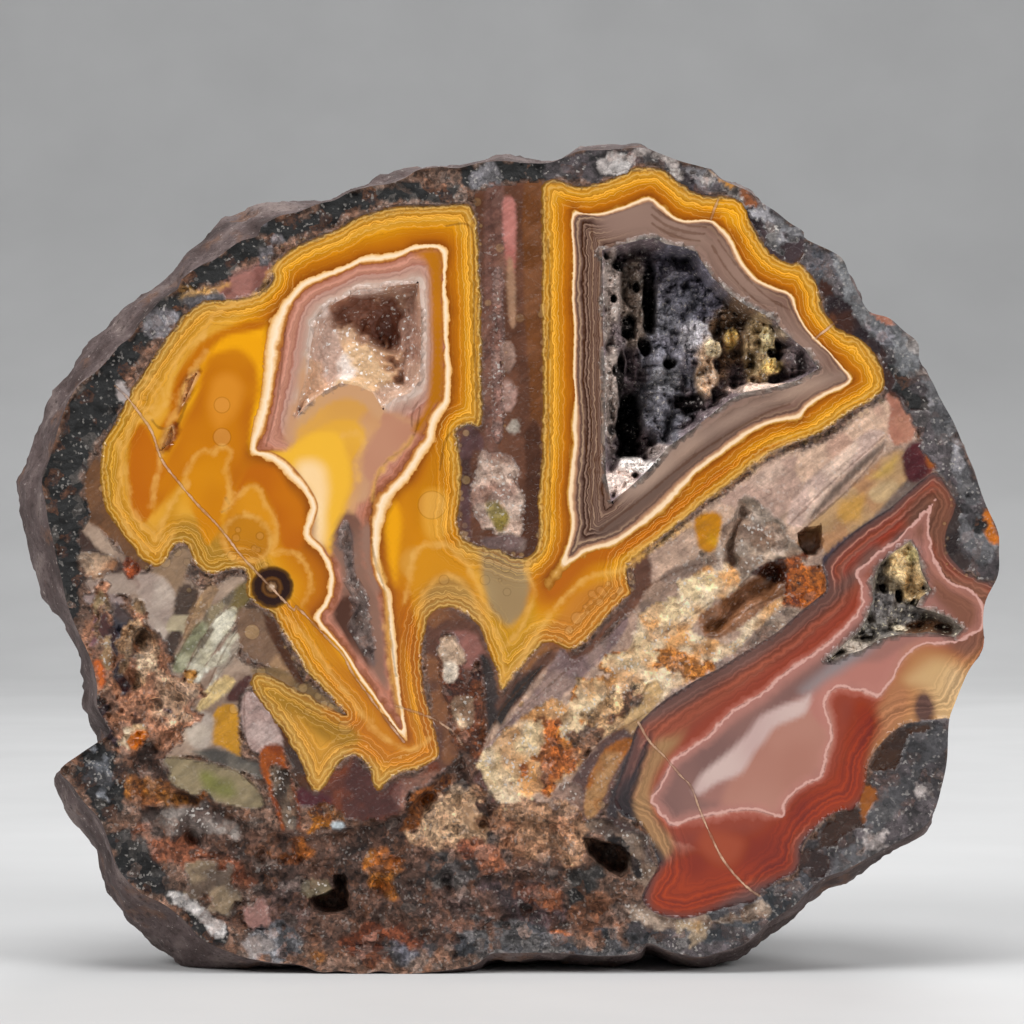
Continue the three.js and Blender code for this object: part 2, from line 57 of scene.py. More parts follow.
# Outside of the stone, as in the solid model: lengths in mm, shares, and an angle in degrees
BELLY_DEPTH = 9.0
DOME_POWER = 2.4
BACK_CAP = 0.12
BULGE_GAIN = 1.25
BULGE_BASE = 0.3
FLAT_SPOT_DIP = 2.3
FLAT_SPOT_REACH = 34.0
DIP_TOP = 40.0
CENTRE_LOW = 12.0
CENTRE_RISE = 20.0
RIM_LUMP = 0.3
BACK_LUMP = 2.0
SMOOTH_REACH = 7
STONE_MIDDLE = 42
WEAR_DEPTHS = (6, 22)
SHARP_RIM_DEPTH = 3
FULL_LUMP_DEPTH = 16
RIM_RING_DEPTHS = [0.12, 0.35, 0.7, 1.1, 1.6, 2.2, 2.9, 3.7, 4.6, 5.6, 6.7, 7.8]
BACK_RINGS = 26
BACK_TIP = 0.02
SHARP_ANGLE = 40

# Fineness of the meshes, in mm
GROUND_STEP = 0.3
AGATE_STEP = 0.45
LEAST_GAP = 0.16
CURVE_STEP = 0.4
RIM_STEP = 0.47
FIELD_REACH = 6.0
POCKET_STEP = 1.3
POCKET_WALL_STEP = 0.3
HOLLOW_WALL_STEP = 0.25
LINE_STEP = 0.3
RIM_GAP = 0.2
ORB_REACH = 2.5

# Places on the texture, as shares of its width and height
MAP_LEFT = 0.01
MAP_WIDTH = 0.98
FACE_LOW = 0.185
FACE_COLUMNS_PER_MM = 0.0098
FACE_ROWS_PER_MM = 0.0097
FACE_HALF_WIDTH = 50
STRIP_TOP = 0.17
STRIP_HEIGHT = 0.165

# Rim of the face, clockwise from the left end: x, z and how far the rough rind shows beyond it
RIM = [
    (-46.4, 47.4, 3.1), (-46.7, 49.4, 2.5), (-45.9, 51.6, 2.2), (-45.4, 53.4, 2.0), (-44.8, 55.4, 1.9),
    (-44.0, 57.4, 2.1), (-43.0, 58.9, 1.7), (-41.1, 60.4, 2.6), (-39.7, 61.9, 2.8), (-38.9, 62.9, 2.6),
    (-37.8, 63.7, 2.7), (-36.8, 65.2, 2.4), (-35.7, 66.4, 2.2), (-34.7, 67.5, 2.0), (-33.1, 68.5, 2.1),
    (-32.7, 69.5, 1.7), (-30.9, 70.8, 1.9), (-29.5, 71.4, 2.2), (-28.3, 72.3, 2.4), (-26.8, 73.3, 2.7),
    (-25.1, 73.8, 3.0), (-24.7, 74.8, 2.3), (-22.9, 75.8, 1.6), (-21.1, 76.2, 1.3), (-19.1, 77.0, 0.7),
    (-17.4, 77.4, 0.6), (-15.9, 78.2, 0.5), (-13.7, 78.8, 0.6), (-12.1, 79.0, 1.2), (-10.4, 79.6, 1.2),
    (-9.1, 80.4, 0.6), (-6.9, 80.7, 0.7), (-5.1, 80.6, 1.0), (-2.9, 81.1, 0.8), (-0.6, 81.3, 1.1),
    (1.6, 81.1, 0.9), (3.9, 81.1, 0.5), (5.4, 81.6, 0.3), (7.1, 82.3, 0.8), (9.6, 82.4, 0.9),
    (12.6, 82.6, 0.8), (14.1, 82.4, 0.4), (17.1, 81.3, 0.4), (19.9, 80.5, 0.3), (21.3, 79.4, 0.4),
    (23.9, 78.3, 0.5), (24.9, 77.4, 0.3), (26.6, 76.3, 0.3), (28.1, 75.1, 0.3), (29.4, 74.3, 0.3),
    (29.7, 73.5, 0.2), (32.4, 72.2, 0.3), (33.5, 71.3, 0.3), (34.2, 69.4, 0.4), (35.1, 67.7, 0.4),
    (36.1, 66.2, 0.3), (38.0, 65.6, 0.4), (39.5, 64.3, 0.3), (40.9, 63.1, 0.4), (41.1, 61.3, 0.3),
    (42.4, 59.1, 0.3), (43.2, 57.4, 0.3), (44.5, 55.1, 0.3), (45.6, 52.4, 0.3), (46.7, 49.6, 0.4),
    (47.7, 46.9, 0.4), (48.9, 44.2, 0.4), (49.0, 42.2, 0.4), (48.9, 39.9, 0.3), (47.7, 37.4, 0.2),
    (47.4, 35.4, 0.2), (47.4, 32.6, 0.2), (45.9, 30.2, 0.3), (44.6, 27.1, 0.3), (44.0, 25.2, 0.2),
    (43.8, 21.4, 0.3), (43.3, 18.9, 0.5), (42.5, 16.2, 0.7), (41.3, 14.6, 1.0), (38.6, 13.1, 0.8),
    (35.9, 11.6, 1.0), (33.6, 10.4, 1.0), (31.5, 9.6, 0.8), (29.7, 8.1, 0.7), (28.6, 6.9, 0.6),
    (26.3, 5.4, 0.6), (24.6, 3.9, 0.6), (23.3, 2.9, 0.6), (21.1, 2.2, 0.6), (19.1, 1.7, 0.5),
    (16.3, 2.2, 0.4), (13.9, 3.1, 0.3), (12.9, 2.1, 0.3), (9.1, 1.8, 0.3), (5.1, 2.1, 0.3),
    (0.3, 2.1, 0.3), (-1.9, 2.0, 0.2), (-3.5, 0.9, 0.2), (-6.9, 0.3, 0.1), (-10.9, 0.0, 0.1),
    (-12.9, 0.3, 0.1), (-14.7, 0.0, 0.1), (-16.9, 0.3, 0.1), (-18.9, 0.2, 0.1), (-20.9, 0.9, 0.2),
    (-23.4, 1.1, 0.5), (-25.1, 1.4, 0.6), (-26.9, 1.8, 1.4), (-30.4, 3.3, 2.4), (-32.4, 5.3, 3.4),
    (-34.4, 6.9, 3.4), (-36.9, 8.2, 2.6), (-38.9, 10.3, 2.1), (-39.9, 12.9, 2.0), (-40.9, 15.4, 2.2),
    (-42.5, 17.2, 2.2), (-43.9, 19.1, 1.6), (-44.9, 20.4, 1.0), (-42.9, 22.0, 0.6), (-41.1, 23.2, 0.4),
    (-39.9, 24.1, 0.4), (-40.5, 25.4, 1.2), (-41.2, 26.9, 1.8), (-41.2, 28.9, 1.9), (-41.8, 31.4, 1.7),
    (-42.7, 33.4, 1.3), (-43.6, 35.4, 1.3), (-44.3, 37.4, 2.0), (-44.7, 39.4, 2.7), (-45.2, 41.4, 3.1),
    (-45.6, 43.4, 3.3), (-46.1, 45.4, 3.3),
]

# Lined hollows: outline on the face and depth of the pocket in mm
DRUSE_OUTLINE = [
    (-19.2, 65.6), (-18.1, 66.8), (-16.4, 67.6), (-15.2, 68.4), (-12.9, 68.6), (-10.9, 68.9),
    (-9.0, 69.1), (-8.8, 66.4), (-8.8, 62.9), (-8.9, 59.4), (-9.9, 58.1), (-11.4, 57.6),
    (-12.7, 56.5), (-13.6, 58.1), (-15.1, 58.8), (-16.9, 59.1), (-18.4, 58.3), (-20.3, 56.8),
    (-21.5, 55.4), (-21.0, 57.6), (-20.1, 60.2), (-19.8, 62.9),
]
CAVITY_OUTLINE = [
    (9.3, 72.4), (11.1, 72.9), (13.1, 73.4), (14.4, 73.6), (15.7, 73.0), (17.4, 72.7),
    (18.7, 72.2), (19.5, 70.9), (20.4, 69.6), (22.1, 68.0), (23.6, 66.9), (25.1, 66.2),
    (26.6, 65.4), (27.7, 64.0), (29.6, 62.5), (30.9, 60.5), (29.1, 59.5), (26.1, 58.6),
    (23.6, 58.2), (21.9, 57.3), (19.9, 55.7), (18.1, 54.3), (16.0, 52.8), (14.0, 50.5),
    (12.0, 48.6), (10.2, 47.2), (9.7, 49.9), (9.6, 54.4), (9.6, 58.9), (9.4, 64.4),
    (9.4, 68.4),
]
SMALL_OUTLINE = [
    (40.1, 43.3), (40.9, 42.2), (41.2, 40.4), (42.2, 38.4), (41.2, 37.7), (40.7, 36.7),
    (42.6, 36.2), (44.1, 35.6), (45.4, 34.5), (44.6, 33.7), (42.1, 34.2), (39.1, 34.0),
    (37.1, 33.5), (35.3, 32.4), (33.3, 31.8), (31.9, 31.3), (33.6, 33.1), (35.1, 34.3),
    (35.9, 35.9), (36.4, 37.4), (36.4, 39.4), (37.1, 41.1), (38.6, 42.3),
]
DRUSE_POCKET = 9.0
CAVITY_POCKET = 13.0
SMALL_POCKET = 5.5
LINED_HOLLOWS = [
    (DRUSE_OUTLINE, DRUSE_POCKET), (CAVITY_OUTLINE, CAVITY_POCKET), (SMALL_OUTLINE, SMALL_POCKET),
]
POCKET_WALL = 0.12
CRUST_BACK_GAP = 0.3

# Bare hollows: depth, width of the sloping wall, outline on the face in mm
BARE_HOLLOWS = [
    (4.0, 0.5, [(28.8, 44.1), (29.7, 44.7), (31.3, 44.9), (31.4, 42.6), (30.9, 41.8), (29.6, 41.8),
                (29.0, 42.6)]),
    (2.4, 1.4, [(24.3, 40.1), (25.6, 41.1), (27.6, 41.4), (27.9, 40.6), (27.8, 39.2), (26.6, 37.8),
                (24.3, 36.8), (23.1, 35.6), (21.9, 34.6), (20.9, 33.8), (19.4, 33.8), (18.9, 34.8),
                (20.6, 36.0), (21.3, 37.4), (22.9, 38.8)]),
    (1.8, 0.8, [(21.3, 42.9), (22.1, 44.2), (22.6, 46.4), (23.2, 47.4), (24.8, 46.1), (23.6, 45.2),
                (23.1, 43.9), (22.9, 42.4), (23.6, 41.4), (23.1, 40.6), (22.2, 40.2), (21.3, 40.9)]),
    (6.0, 0.9, [(-17.9, 10.1), (-16.4, 10.1), (-15.9, 8.9), (-15.6, 6.2), (-16.4, 5.6), (-18.4, 5.3),
                (-20.1, 5.9), (-20.4, 7.4), (-19.1, 8.1), (-17.9, 8.6)]),
    (6.0, 0.8, [(7.0, 13.8), (8.6, 13.7), (10.9, 13.1), (12.4, 12.2), (12.6, 11.2), (12.3, 9.9),
                (11.3, 9.1), (9.9, 9.7), (8.8, 10.6), (7.9, 11.7)]),
    (0.8, 0.3, [(-31.2, 60.1), (-32.3, 59.4), (-32.7, 57.9), (-32.9, 56.4), (-32.1, 57.6), (-31.7, 58.9)]),
    (0.8, 0.3, [(-33.7, 54.9), (-34.4, 53.9), (-34.8, 52.4), (-33.9, 52.9), (-33.4, 53.9)]),
]

# Rough matrix, a little below the polish: its outline, and its pits as x, z, radius and depth in mm
MATRIX_OUTLINE = [
    (-40.6, 31.0), (-38.6, 34.5), (-36.2, 35.4), (-34.4, 33.0), (-33.6, 29.6), (-31.6, 27.6),
    (-32.6, 24.0), (-34.6, 21.4), (-33.4, 19.0), (-29.2, 17.2), (-25.4, 15.2), (-21.0, 14.0),
    (-16.0, 14.8), (-11.6, 16.2), (-7.4, 19.4), (-4.6, 22.6), (-2.8, 18.6), (0.6, 15.8),
    (5.4, 15.6), (6.0, 12.8), (8.4, 8.4), (11.6, 7.6), (11.4, 4.0), (5.0, 3.6),
    (-1.4, 3.8), (-6.0, 2.0), (-14.8, 1.6), (-21.4, 2.6), (-27.4, 4.4), (-31.0, 8.2),
    (-34.8, 12.2), (-37.4, 15.8), (-38.2, 20.4), (-38.4, 26.0),
]
MATRIX_PITS = [
    (-36.8, 33.2, 1.3, 1.6), (-38.0, 29.2, 1.0, 1.2), (-35.6, 26.8, 1.0, 1.2), (-8.2, 17.4, 1.0, 1.6),
    (-2.6, 15.0, 0.8, 1.4), (-12.6, 8.2, 1.1, 1.4), (-6.2, 9.0, 0.9, 1.2), (1.6, 6.4, 0.9, 1.2),
    (-25.0, 11.6, 1.1, 1.2), (-31.8, 13.4, 1.0, 1.2),
]
DEEPEST_LEDGE = 2.2

# Outlines that lie a little deeper than the polish, and how much in mm
SHALLOW_SPOTS = (("slit", 0.5), ("core", 0.12))

# Outlines on the face by column and row. The mesh has vertices along all of them.
OUTLINES = {
    "gold": "543,182 560,180 580,186 600,182 620,174 640,167 660,168 673,176 690,189 706,195 735,197 "
        "746,205 751,222 760,238 771,251 786,261 803,264 814,275 820,290 822,305 832,320 846,332 860,338 "
        "871,348 880,362 885,378 884,390 869,403 850,413 838,422 822,433 800,441 776,450 755,463 738,478 "
        "720,491 704,503 690,515 672,529 655,543 641,553 629,564 628,580 632,592 620,604 603,622 588,640 "
        "572,650 558,645 545,643 530,658 515,673 502,691 497,673 490,656 484,640 478,626 462,612 445,608 "
        "430,616 424,640 422,665 425,690 431,715 438,742 439,756 420,769 400,774 386,784 380,792 374,786 "
        "368,768 358,757 345,759 334,772 325,787 316,792 308,782 300,760 284,734 268,712 254,694 250,680 "
        "258,672 275,677 298,690 322,703 345,714 324,692 306,672 293,650 281,630 272,614 255,604 246,590 "
        "246,572 230,570 212,575 196,566 186,545 176,546 166,560 155,568 142,558 128,542 112,520 104,505 "
        "100,480 100,458 104,440 116,420 124,404 130,390 140,376 152,358 164,340 178,322 192,308 206,300 "
        "228,300 248,297 263,291 272,280 272,268 280,257 296,246 318,236 338,228 358,216 378,210 400,205 "
        "430,205 460,203 472,206 478,230 479,262 481,300 482,340 482,380 482,424 468,425 457,431 458,444 "
        "461,460 461,480 461,500 458,520 462,536 478,545 500,550 514,557 528,556 538,540 538,500 541,470 "
        "542,420 542,340 541,300 542,250 541,205",
    "west_out": "447,247 415,244 403,249 385,253 364,255 350,262 330,270 312,276 299,282 290,292 280,305 "
        "270,322 264,345 262,380 258,405 252,430 249,452 262,458 276,466 288,480 301,491 309,506 306,518 "
        "302,530 304,541 314,549 323,560 328,575 327,592 320,607 312,617 325,633 341,650 352,668 364,686 "
        "378,704 390,722 408,744 406,722 402,700 399,672 397,640 394,612 392,592 385,580 381,560 382,535 "
        "388,512 394,498 404,486 414,474 423,460 434,444 438,426 446,412 451,402 452,372 449,340 450,312 "
        "446,282",
    "west_in": "440,253 415,251 400,258 384,262 362,264 348,270 330,278 314,284 304,290 292,306 286,322 "
        "282,345 276,380 272,402 266,428 257,448 270,451 285,459 298,472 310,488 318,505 315,520 311,534 "
        "322,545 331,560 335,576 334,594 327,609 321,618 332,634 347,652 360,672 374,692 388,712 401,730 "
        "399,712 393,676 388,640 386,612 383,592 375,578 371,560 370,535 371,515 376,497 386,487 398,476 "
        "408,462 416,446 425,432 428,418 436,404 443,394 443,345 441,300",
    "druse_rim": "312,318 326,302 345,294 357,285 380,283 400,281 420,278 426,300 426,345 424,385 "
        "414,397 397,402 382,413 370,396 356,390 340,388 327,395 308,411 291,424 296,398 304,372 307,345",
    "peach": "384,414 402,422 417,430 410,443 397,455 381,465 371,482 364,470 366,450 374,436 382,426",
    "slit": "347,524 353,540 355,562 358,582 366,600 366,615 372,640 374,664 366,652 356,634 350,622 "
        "357,608 352,594 346,575 343,555 341,540",
    "east_out": "571,211 572,260 571,300 573,330 572,370 574,395 571,415 570,430 572,445 568,470 566,500 "
        "569,520 567,540 560,558 549,574 545,580 549,590 558,580 567,569 576,562 590,553 612,548 626,540 "
        "645,526 660,516 676,500 690,483 700,472 720,458 740,443 760,430 780,423 800,421 808,410 825,398 "
        "842,390 854,380 845,368 835,357 820,341 806,326 798,310 793,294 775,286 756,276 742,257 733,238 "
        "722,226 710,219 685,219 672,213 660,202 651,196 643,196 632,201 618,207 600,212 585,213",
    "east_in": "576,218 577,260 576,300 578,330 577,380 580,415 580,440 578,470 576,500 578,524 573,545 "
        "570,556 582,546 600,541 614,536 628,527 645,512 660,498 680,478 700,461 720,446 740,431 760,421 "
        "780,415 797,411 805,402 822,391 838,384 847,379 838,366 828,353 812,339 800,323 792,306 787,296 "
        "770,290 751,280 736,262 728,245 718,232 708,223 685,224 669,219 656,208 650,202 640,205 620,212 "
        "600,217",
    "vug_rim": "600,246 620,240 640,235 654,233 668,239 686,242 700,248 709,262 717,275 733,290 748,300 "
        "762,307 779,316 791,330 810,345 823,367 806,382 772,393 746,398 731,406 712,422 694,436 673,451 "
        "653,474 632,493 607,509 601,480 600,430 600,385 598,330 598,290",
    "column": "473,196 480,190 500,186 520,182 541,182 541,205 542,250 541,300 542,340 542,420 541,470 "
        "538,500 538,540 528,556 514,557 500,550 478,545 462,536 458,520 461,500 461,480 461,460 458,444 "
        "457,431 468,425 482,424 482,380 482,340 481,300 479,262 478,230",
    "core": "476,455 484,448 496,450 506,455 515,470 520,488 523,505 521,525 522,545 510,538 495,535 "
        "482,530 474,515 472,490 474,470",
    "pinkpatch": "200,298 215,286 235,272 255,263 270,260 273,272 266,284 250,294 228,298",
    "eye_dark": "272,558 284,562 293,572 295,586 290,600 279,609 265,608 254,598 250,584 254,570 262,562",
    "eye_core": "272,577 281,580 283,588 277,595 268,596 262,588 266,579",
    "rust_stick": "260,752 268,745 280,745 286,760 294,790 300,815 297,836 284,836 276,815 266,785 "
        "259,765",
    "gray_clear": "85,512 110,540 128,560 140,580 160,592 180,575 205,590 225,578 246,575 240,604 "
        "228,620 236,655 262,670 250,690 243,700 242,760 262,790 245,772 200,758 165,756 175,740 160,700 "
        "155,665 150,640 135,610 120,590 95,572 82,560",
    "porous": "78,640 90,655 100,690 120,670 112,630 125,615 138,618 152,640 158,665 178,672 200,672 "
        "196,690 190,712 180,740 170,752 150,757 120,752 98,740 105,733 98,726 82,716 78,700",
    "diag": "483,760 487,738 500,716 520,698 540,672 556,648 568,656 588,650 610,636 634,608 642,590 "
        "636,570 650,552 672,536 700,512 720,497 745,478 762,464 790,452 815,446 840,430 860,412 880,402 "
        "895,396 912,410 918,440 935,470 920,482 905,495 890,508 875,518 860,528 845,540 830,555 822,568 "
        "826,590 815,600 800,612 780,630 760,643 740,655 720,668 700,678 680,690 660,704 640,722 620,750 "
        "600,780 585,812 560,812 530,800 505,800 488,785",
    "red_out": "640,722 660,704 680,690 700,678 720,668 740,655 760,643 780,630 800,612 815,600 826,590 "
        "825,575 822,568 830,555 845,540 860,528 875,518 890,508 905,495 920,482 935,472 946,484 956,500 "
        "955,512 948,525 945,542 951,558 966,572 990,582 1003,590 996,650 975,680 958,712 950,724 "
        "925,722 905,724 888,736 875,751 868,765 866,782 860,800 852,810 842,810 826,818 812,832 803,845 "
        "800,860 795,873 780,880 765,892 755,902 735,906 712,912 690,918 670,918 652,911 642,898 650,880 "
        "658,866 652,845 642,825 622,815 614,800 620,780 628,755 634,735",
    "red_in": "651,800 660,785 668,768 676,757 690,748 705,738 720,722 735,708 750,700 765,690 776,680 "
        "790,668 810,655 830,640 846,625 860,608 861,590 855,573 866,562 880,550 895,540 905,530 920,515 "
        "937,497 931,512 930,530 932,548 938,565 950,580 975,592 985,610 980,630 962,640 942,645 925,645 "
        "911,653 900,666 893,680 886,690 878,698 868,693 855,690 838,688 829,695 826,706 831,722 833,738 "
        "828,752 826,765 821,778 806,785 793,795 785,806 783,818 755,811 730,812 710,816 690,820 672,826 "
        "662,815",
    "purple_stone": "552,812 560,795 580,765 600,740 620,728 632,735 628,755 614,790 600,815 585,822 "
        "565,820",
    "bottom_dark": "318,792 330,780 345,760 358,757 370,772 378,792 400,776 425,770 440,758 450,766 "
        "460,778 440,790 420,800 400,820 380,826 350,822 335,812",
    "wing": "605,818 625,822 645,838 652,855 656,872 648,880 640,865 632,848 618,838 600,832 585,828 "
        "590,820",
    "black_rind": "62,620 58,590 53,560 48,520 44,490 50,458 60,425 70,398 85,380 102,368 116,350 "
        "131,338 150,312 162,299 178,288 198,267 214,260 226,251 241,241 262,236 262,226 280,216 298,212 "
        "303,218 318,210 335,200 352,192 372,188 388,186 405,180 420,185 440,192 455,180 462,168 480,163 "
        "503,161 525,163 548,163 553,175 520,178 500,180 480,184 462,192 448,200 420,200 390,202 370,205 "
        "350,212 330,222 304,236 285,243 262,255 243,264 225,280 205,288 188,300 180,315 165,330 150,348 "
        "135,365 124,380 130,395 118,408 108,425 98,442 88,456 82,475 85,500 82,515 76,535 78,560 84,580 "
        "80,600 76,615",
    "right_rind": "548,158 563,156 580,150 605,148 635,146 652,149 680,160 708,168 722,179 748,190 "
        "758,199 775,210 790,222 804,230 808,240 834,251 846,260 852,279 862,296 872,311 890,317 905,330 "
        "920,342 923,361 935,382 943,399 956,422 967,449 978,477 988,504 1001,531 1002,552 1000,575 "
        "985,580 966,572 951,558 945,542 948,525 955,512 956,500 946,484 935,470 925,448 915,425 898,400 "
        "888,388 882,365 872,350 860,338 846,332 832,320 822,305 820,290 812,274 803,264 786,261 771,251 "
        "760,238 751,222 746,205 735,197 706,194 690,188 673,175 655,167 640,167 620,172 600,180 580,184 "
        "560,178 548,176",
    "low_rind": "952,722 949,760 946,785 940,812 928,832 900,848 868,864 848,874 828,882 812,896 800,908 "
        "780,920 766,930 757,942 742,950 712,960 690,961 672,956 650,948 640,950 625,946 628,925 650,918 "
        "680,925 700,925 720,920 750,915 760,900 766,890 782,880 797,874 803,860 806,846 816,834 828,820 "
        "844,812 853,812 862,800 868,782 870,766 877,752 890,738 907,725 926,722",
    "sw_rind_a": "68,775 72,762 85,750 98,744 106,752 122,762 130,780 128,800 120,818 105,820 92,805 "
        "78,792 70,785",
    "sw_rind_b": "106,840 118,830 140,832 158,840 165,860 172,880 180,895 195,910 215,920 228,928 "
        "226,940 215,945 200,935 185,918 165,902 148,892 130,884 118,868 110,852",
}

# Healed cracks by column and row
VEINS = [
    "115,386 126,396 140,414 152,432 162,460 180,484 198,505 220,528 240,554 262,578 272,588 "
    "285,602 294,610",
    "296,606 310,620 325,636 343,655 352,672 372,700 388,722 404,742",
    "396,706 415,712 432,718 445,726 455,734 462,745",
    "638,722 650,742 664,756 680,775 690,785 697,802 703,818 712,838 722,858 735,875 748,888 "
    "760,896",
    "718,200 714,210 711,219",
    "836,322 826,330 816,338",
]


def tint(code):
    """Linear red, green, blue and 1 from a six-digit colour code."""
    parts = [int(code[i:i + 2], 16) / 255 for i in (0, 2, 4)]
    return tuple(p / 12.92 if p <= 0.04045 else ((p + 0.055) / 1.055) ** 2.4 for p in parts) + (1.0,)


def on_face(points):
    """Row-frame x and z in mm of places given by column and row, as pairs or as text."""
    if isinstance(points, str):
        points = [pair.split(",") for pair in points.split()]
    columns, rows = np.array(points, float).T
    x = (columns - FACE_COLUMN) / UNITS_PER_MM + SIDEWAYS
    return np.stack([x, (FACE_ROW - rows) / UNITS_PER_MM], axis=1)


def moved(points):
    """Outline in mm, moved sideways into the row frame."""
    return np.array(points, float) + (SIDEWAYS, 0)


def smooth_loop(values, place, closed=True):
    """Values of a smooth curve through the given rows, at places counted in rows."""
    count = len(values)
    first = np.floor(place).astype(int)
    part = (place - first)[:, None]
    rows = [first + shift for shift in (-1, 0, 1, 2)]
    picked = [values[row % count] if closed else values[np.clip(row, 0, count - 1)] for row in rows]
    a, b, c, d = picked
    return 0.5 * (2 * b + (c - a) * part + (2 * a - 5 * b + 4 * c - d) * part ** 2
                  + (3 * b - a - 3 * c + d) * part ** 3)


def even_places(values, step, closed=True):
    """Places along the smooth curve that are about step apart."""
    end = len(values) if closed else len(values) - 1
    fine = np.linspace(0, end, end * 12 + 1)
    line = smooth_loop(values, fine, closed)[:, :2]
    run = np.concatenate([[0], np.cumsum(np.hypot(*np.diff(line, axis=0).T))])
    count = max(4, round(run[-1] / step))
    return np.interp(np.linspace(0, run[-1], count, endpoint=not closed), run, fine)


def curve(points, step=CURVE_STEP, closed=True):
    """Smooth curve through points, with places about step apart."""
    values = np.array(points, float)
    return smooth_loop(values, even_places(values, step, closed), closed)


class Places:
    """Places on the face in mm, sorted both ways so that distances to lines are found quickly."""

    def __init__(self, spots):
        self.spots = spots
        self.order = [np.argsort(spots[:, axis]) for axis in (0, 1)]
        self.rows = [spots[order].T.copy() for order in self.order]

    def band(self, axis, low, high):
        """Slice of the sorted places between two values of x or z."""
        return slice(*np.searchsorted(self.rows[axis][axis], (low, high)))

    def inside(self, loop):
        """True for the places inside a closed outline."""
        odd = np.zeros(len(self.spots), bool)
        for start, end in zip(loop, np.roll(loop, -1, axis=0)):
            if start[1] != end[1]:
                near = self.band(1, min(start[1], end[1]), max(start[1], end[1]))
                x, z = self.rows[1][:, near]
                odd[near] ^= x < (end[0] - start[0]) * (z - start[1]) / (end[1] - start[1]) + start[0]
        result = np.zeros(len(odd), bool)
        result[self.order[1]] = odd
        return result

    def distance(self, line, closed=True, reach=FIELD_REACH):
        """Distance in mm to a line, up to the reach."""
        least = np.full(len(self.spots), reach * reach)
        for start, end in zip(line, np.roll(line, -1, axis=0) if closed else line[1:]):
            near = self.band(0, min(start[0], end[0]) - reach, max(start[0], end[0]) + reach)
            along, up = end - start
            x, z = self.rows[0][:, near] - start[:, None]
            share = np.clip((x * along + z * up) / max(along * along + up * up, 1e-12), 0, 1)
            away = (x - share * along) ** 2 + (z - share * up) ** 2
            least[near] = np.minimum(least[near], away)
        result = np.empty(len(least))
        result[self.order[0]] = np.sqrt(least)
        return result

    def signed(self, loop, reach=FIELD_REACH):
        """Distance in mm to a closed outline, positive inside it."""
        return np.where(self.inside(loop), 1, -1) * self.distance(loop, True, reach)


def ease(low, high, value):
    """0 at low, 1 at high, smooth in between."""
    t = np.clip((value - low) / (high - low), 0, 1)
    return t * t * (3 - 2 * t)


def scatter(cells, seed):
    """A number from 0 to 1 for each row of whole numbers."""
    mixed = np.sin(cells @ np.array([127.1, 311.7, 74.7])[:cells.shape[1]] + seed * 17.3) * 43758.5453
    return mixed - np.floor(mixed)


def noise(points, size, seed=0):
    """Smooth noise from -1 to 1 with lumps about size wide."""
    place = points / size
    cell = np.floor(place)
    part = place - cell
    part = part * part * (3 - 2 * part)
    total = np.zeros(len(points))
    for corner in itertools.product((0, 1), repeat=points.shape[1]):
        weight = np.where(np.array(corner) == 1, part, 1 - part).prod(axis=1)
        total += weight * scatter(cell + corner, seed)
    return 2 * total - 1


def rough(points, size, layers=4, seed=0):
    """Noise of several sizes at once, about -1 to 1."""
    return sum(0.5 ** k * noise(points, size / 2 ** k, seed + k) for k in range(layers))


def cells(spots, pitch, seed=0):
    """Distance to the nearest scattered seed, to the second nearest, and the nearest one's number."""
    home = np.floor(spots / pitch)
    first = np.full(len(spots), np.inf)
    second = np.full(len(spots), np.inf)
    number = np.zeros(len(spots))
    for offset in itertools.product((-1, 0, 1), repeat=2):
        cell = home + offset
        jitter = np.stack([scatter(cell, seed), scatter(cell, seed + 5)], axis=1)
        away = np.hypot(*(spots - (cell + 0.1 + 0.8 * jitter) * pitch).T)
        nearer = away < first
        second = np.where(nearer, first, np.minimum(second, away))
        number = np.where(nearer, scatter(cell, seed + 9), number)
        first = np.where(nearer, away, first)
    return first, second, number


def points_of_crystals(spots, pitch, seed=0):
    """Height from 0 to about 1 of crowded, six-sided, pointed crystals, and each one's number."""
    home = np.floor(spots / pitch)
    best = np.full(len(spots), -1.0)
    number = np.zeros(len(spots))
    for offset in itertools.product((-1, 0, 1), repeat=2):
        cell = home + offset
        draw = [scatter(cell, seed + k) for k in range(6)]
        across = (spots - (cell + 0.1 + 0.8 * np.stack(draw[:2], axis=1)) * pitch) / pitch
        turn = np.arctan2(across[:, 1], across[:, 0]) - draw[2] * math.pi
        folded = np.mod(turn, math.pi / 3) - math.pi / 6
        reach = np.hypot(*across.T) * np.cos(folded)
        lean = across[:, 0] * (draw[3] - 0.5) + across[:, 1] * (draw[4] - 0.5)
        height = 0.6 + 0.4 * draw[5] - 0.95 * reach + 0.7 * lean
        number = np.where(height > best, draw[5], number)
        best = np.maximum(best, height)
    return best, number


